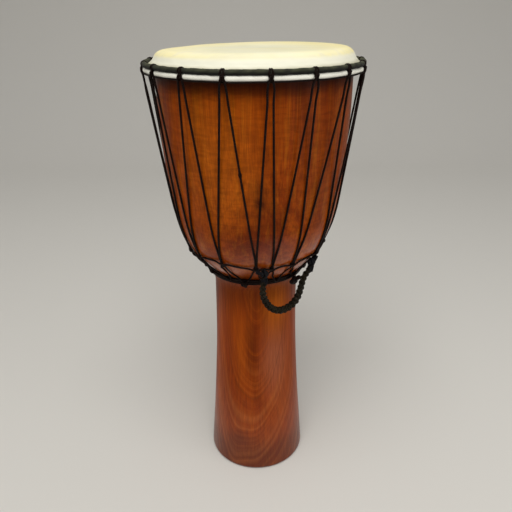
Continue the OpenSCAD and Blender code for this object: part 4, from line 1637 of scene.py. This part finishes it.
@dataclass(frozen=True)
class Lamp:
    """A square soft lamp that looks at a point, in metres and watts."""

    name: str
    place: Point
    aim: Point
    size: float
    power: float
    colour: Colour

    def build(self) -> None:
        """The lamp in the scene."""
        data = bpy.data.lights.new(self.name, "AREA")
        data.shape, data.size, data.energy, data.color = "SQUARE", self.size, self.power, self.colour
        lamp = bpy.data.objects.new(self.name, data)
        lamp.location = self.place
        lamp.rotation_mode = "QUATERNION"
        lamp.rotation_quaternion = (Vector(self.aim) - Vector(self.place)).to_track_quat("-Z", "Y")
        bpy.context.scene.collection.objects.link(lamp)


@dataclass
class Studio:
    """The camera, a pale floor that rises behind the drum, and soft lamps."""

    eye: Point = (0.0, -0.68754, 0.63977)
    pitch: float = 24.57
    yaw: float = 0.06
    roll: float = -0.43
    focal_px: float = 540.0
    frame_px: float = 512.0
    sensor: float = 36.0
    floor_reach: float = 4000.0
    floor_back: float = 1600.0
    floor_bend: float = 900.0
    floor_colour: Colour = display(222, 220, 215)
    lamps: Tuple[Lamp, ...] = (
        Lamp("high", (-0.1, -0.9, 2.1), (0, 0, 0.35), 1.3, 26.4, (1.0, 0.985, 0.95)),
        Lamp("side", (1.3, -0.8, 0.45), (0, 0, 0.22), 0.8, 3.0, (1.0, 0.98, 0.96)))
    sky_colour: Colour = (1.0, 0.985, 0.96)
    sky: Pair = (0.14, 0.55)

    def build_camera(self) -> None:
        """A camera at the viewing place, looking down by pitch and leaning by roll."""
        data = bpy.data.cameras.new("camera")
        data.sensor_width = self.sensor
        data.lens = self.sensor * self.focal_px / self.frame_px
        data.clip_start, data.clip_end = 0.01, 50
        pitch, yaw, roll = (math.radians(a) for a in (self.pitch, self.yaw, self.roll))
        forward = Vector((math.sin(yaw) * math.cos(pitch), math.cos(yaw) * math.cos(pitch),
                          -math.sin(pitch)))
        level = Vector((math.cos(yaw), -math.sin(yaw), 0))
        right = level * math.cos(roll) + level.cross(forward) * math.sin(roll)
        turn = Matrix((right, right.cross(forward), -forward)).transposed().to_4x4()
        camera = bpy.data.objects.new("camera", data)
        camera.matrix_world = Matrix.Translation(self.eye) @ turn
        bpy.context.scene.collection.objects.link(camera)
        bpy.context.scene.camera = camera

    def build_floor(self) -> None:
        """A floor that curves up into a backdrop: a profile carried along X."""
        reach, back, bend = self.floor_reach, self.floor_back, self.floor_bend
        rise = arc([back, bend], [bend, bend], -90, 0, 24)
        profile = np.vstack([[[-reach, 0]], rise, [[back + bend, reach]]])
        x = np.linspace(-reach, reach, 9)
        points = np.stack(np.broadcast_arrays(x[None, :], profile[:, :1], profile[:, 1:]), axis=-1)
        material, w = Wiring.of_material("pale_floor")
        w.surface(self.floor_colour, 0.7, Specular_IOR_Level=0.2)
        build_mesh("floor", [Surface(points, wrap_cols=False)], material)

    def build_sky(self) -> None:
        """A sky that is brighter overhead."""
        world = bpy.data.worlds.new("studio")
        world.use_nodes = True
        w = Wiring(world.node_tree)
        strength = w.span(w.part(w.coordinates("Generated"), 2), 0.0, 1.0, *self.sky)
        sky = w.node("Background", {"Color": self.sky_colour, "Strength": strength})
        w.node("OutputWorld", {"Surface": sky.outputs[0]})
        bpy.context.scene.world = world

    def build(self) -> None:
        """The whole studio: a soft lamp high in front and a weak one to the right."""
        self.build_camera()
        self.build_floor()
        for lamp in self.lamps:
            lamp.build()
        self.build_sky()
        bpy.context.scene.view_settings.view_transform = "Standard"


def main() -> None:
    """Loads the frame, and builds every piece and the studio."""
    logging.basicConfig(level=logging.INFO, format="%(name)s %(message)s")
    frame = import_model()
    finishes = Finishes()
    Studio().build()
    goblet = Goblet()
    head = Head(goblet)
    lacing = Lacing(goblet, head)
    CarryHandle(lacing, frame["joints"][0]).build(finishes)
    for group in (goblet, head, lacing, TailKnots(lacing)):
        group.build(finishes)


if __name__ == "__main__":
    main()
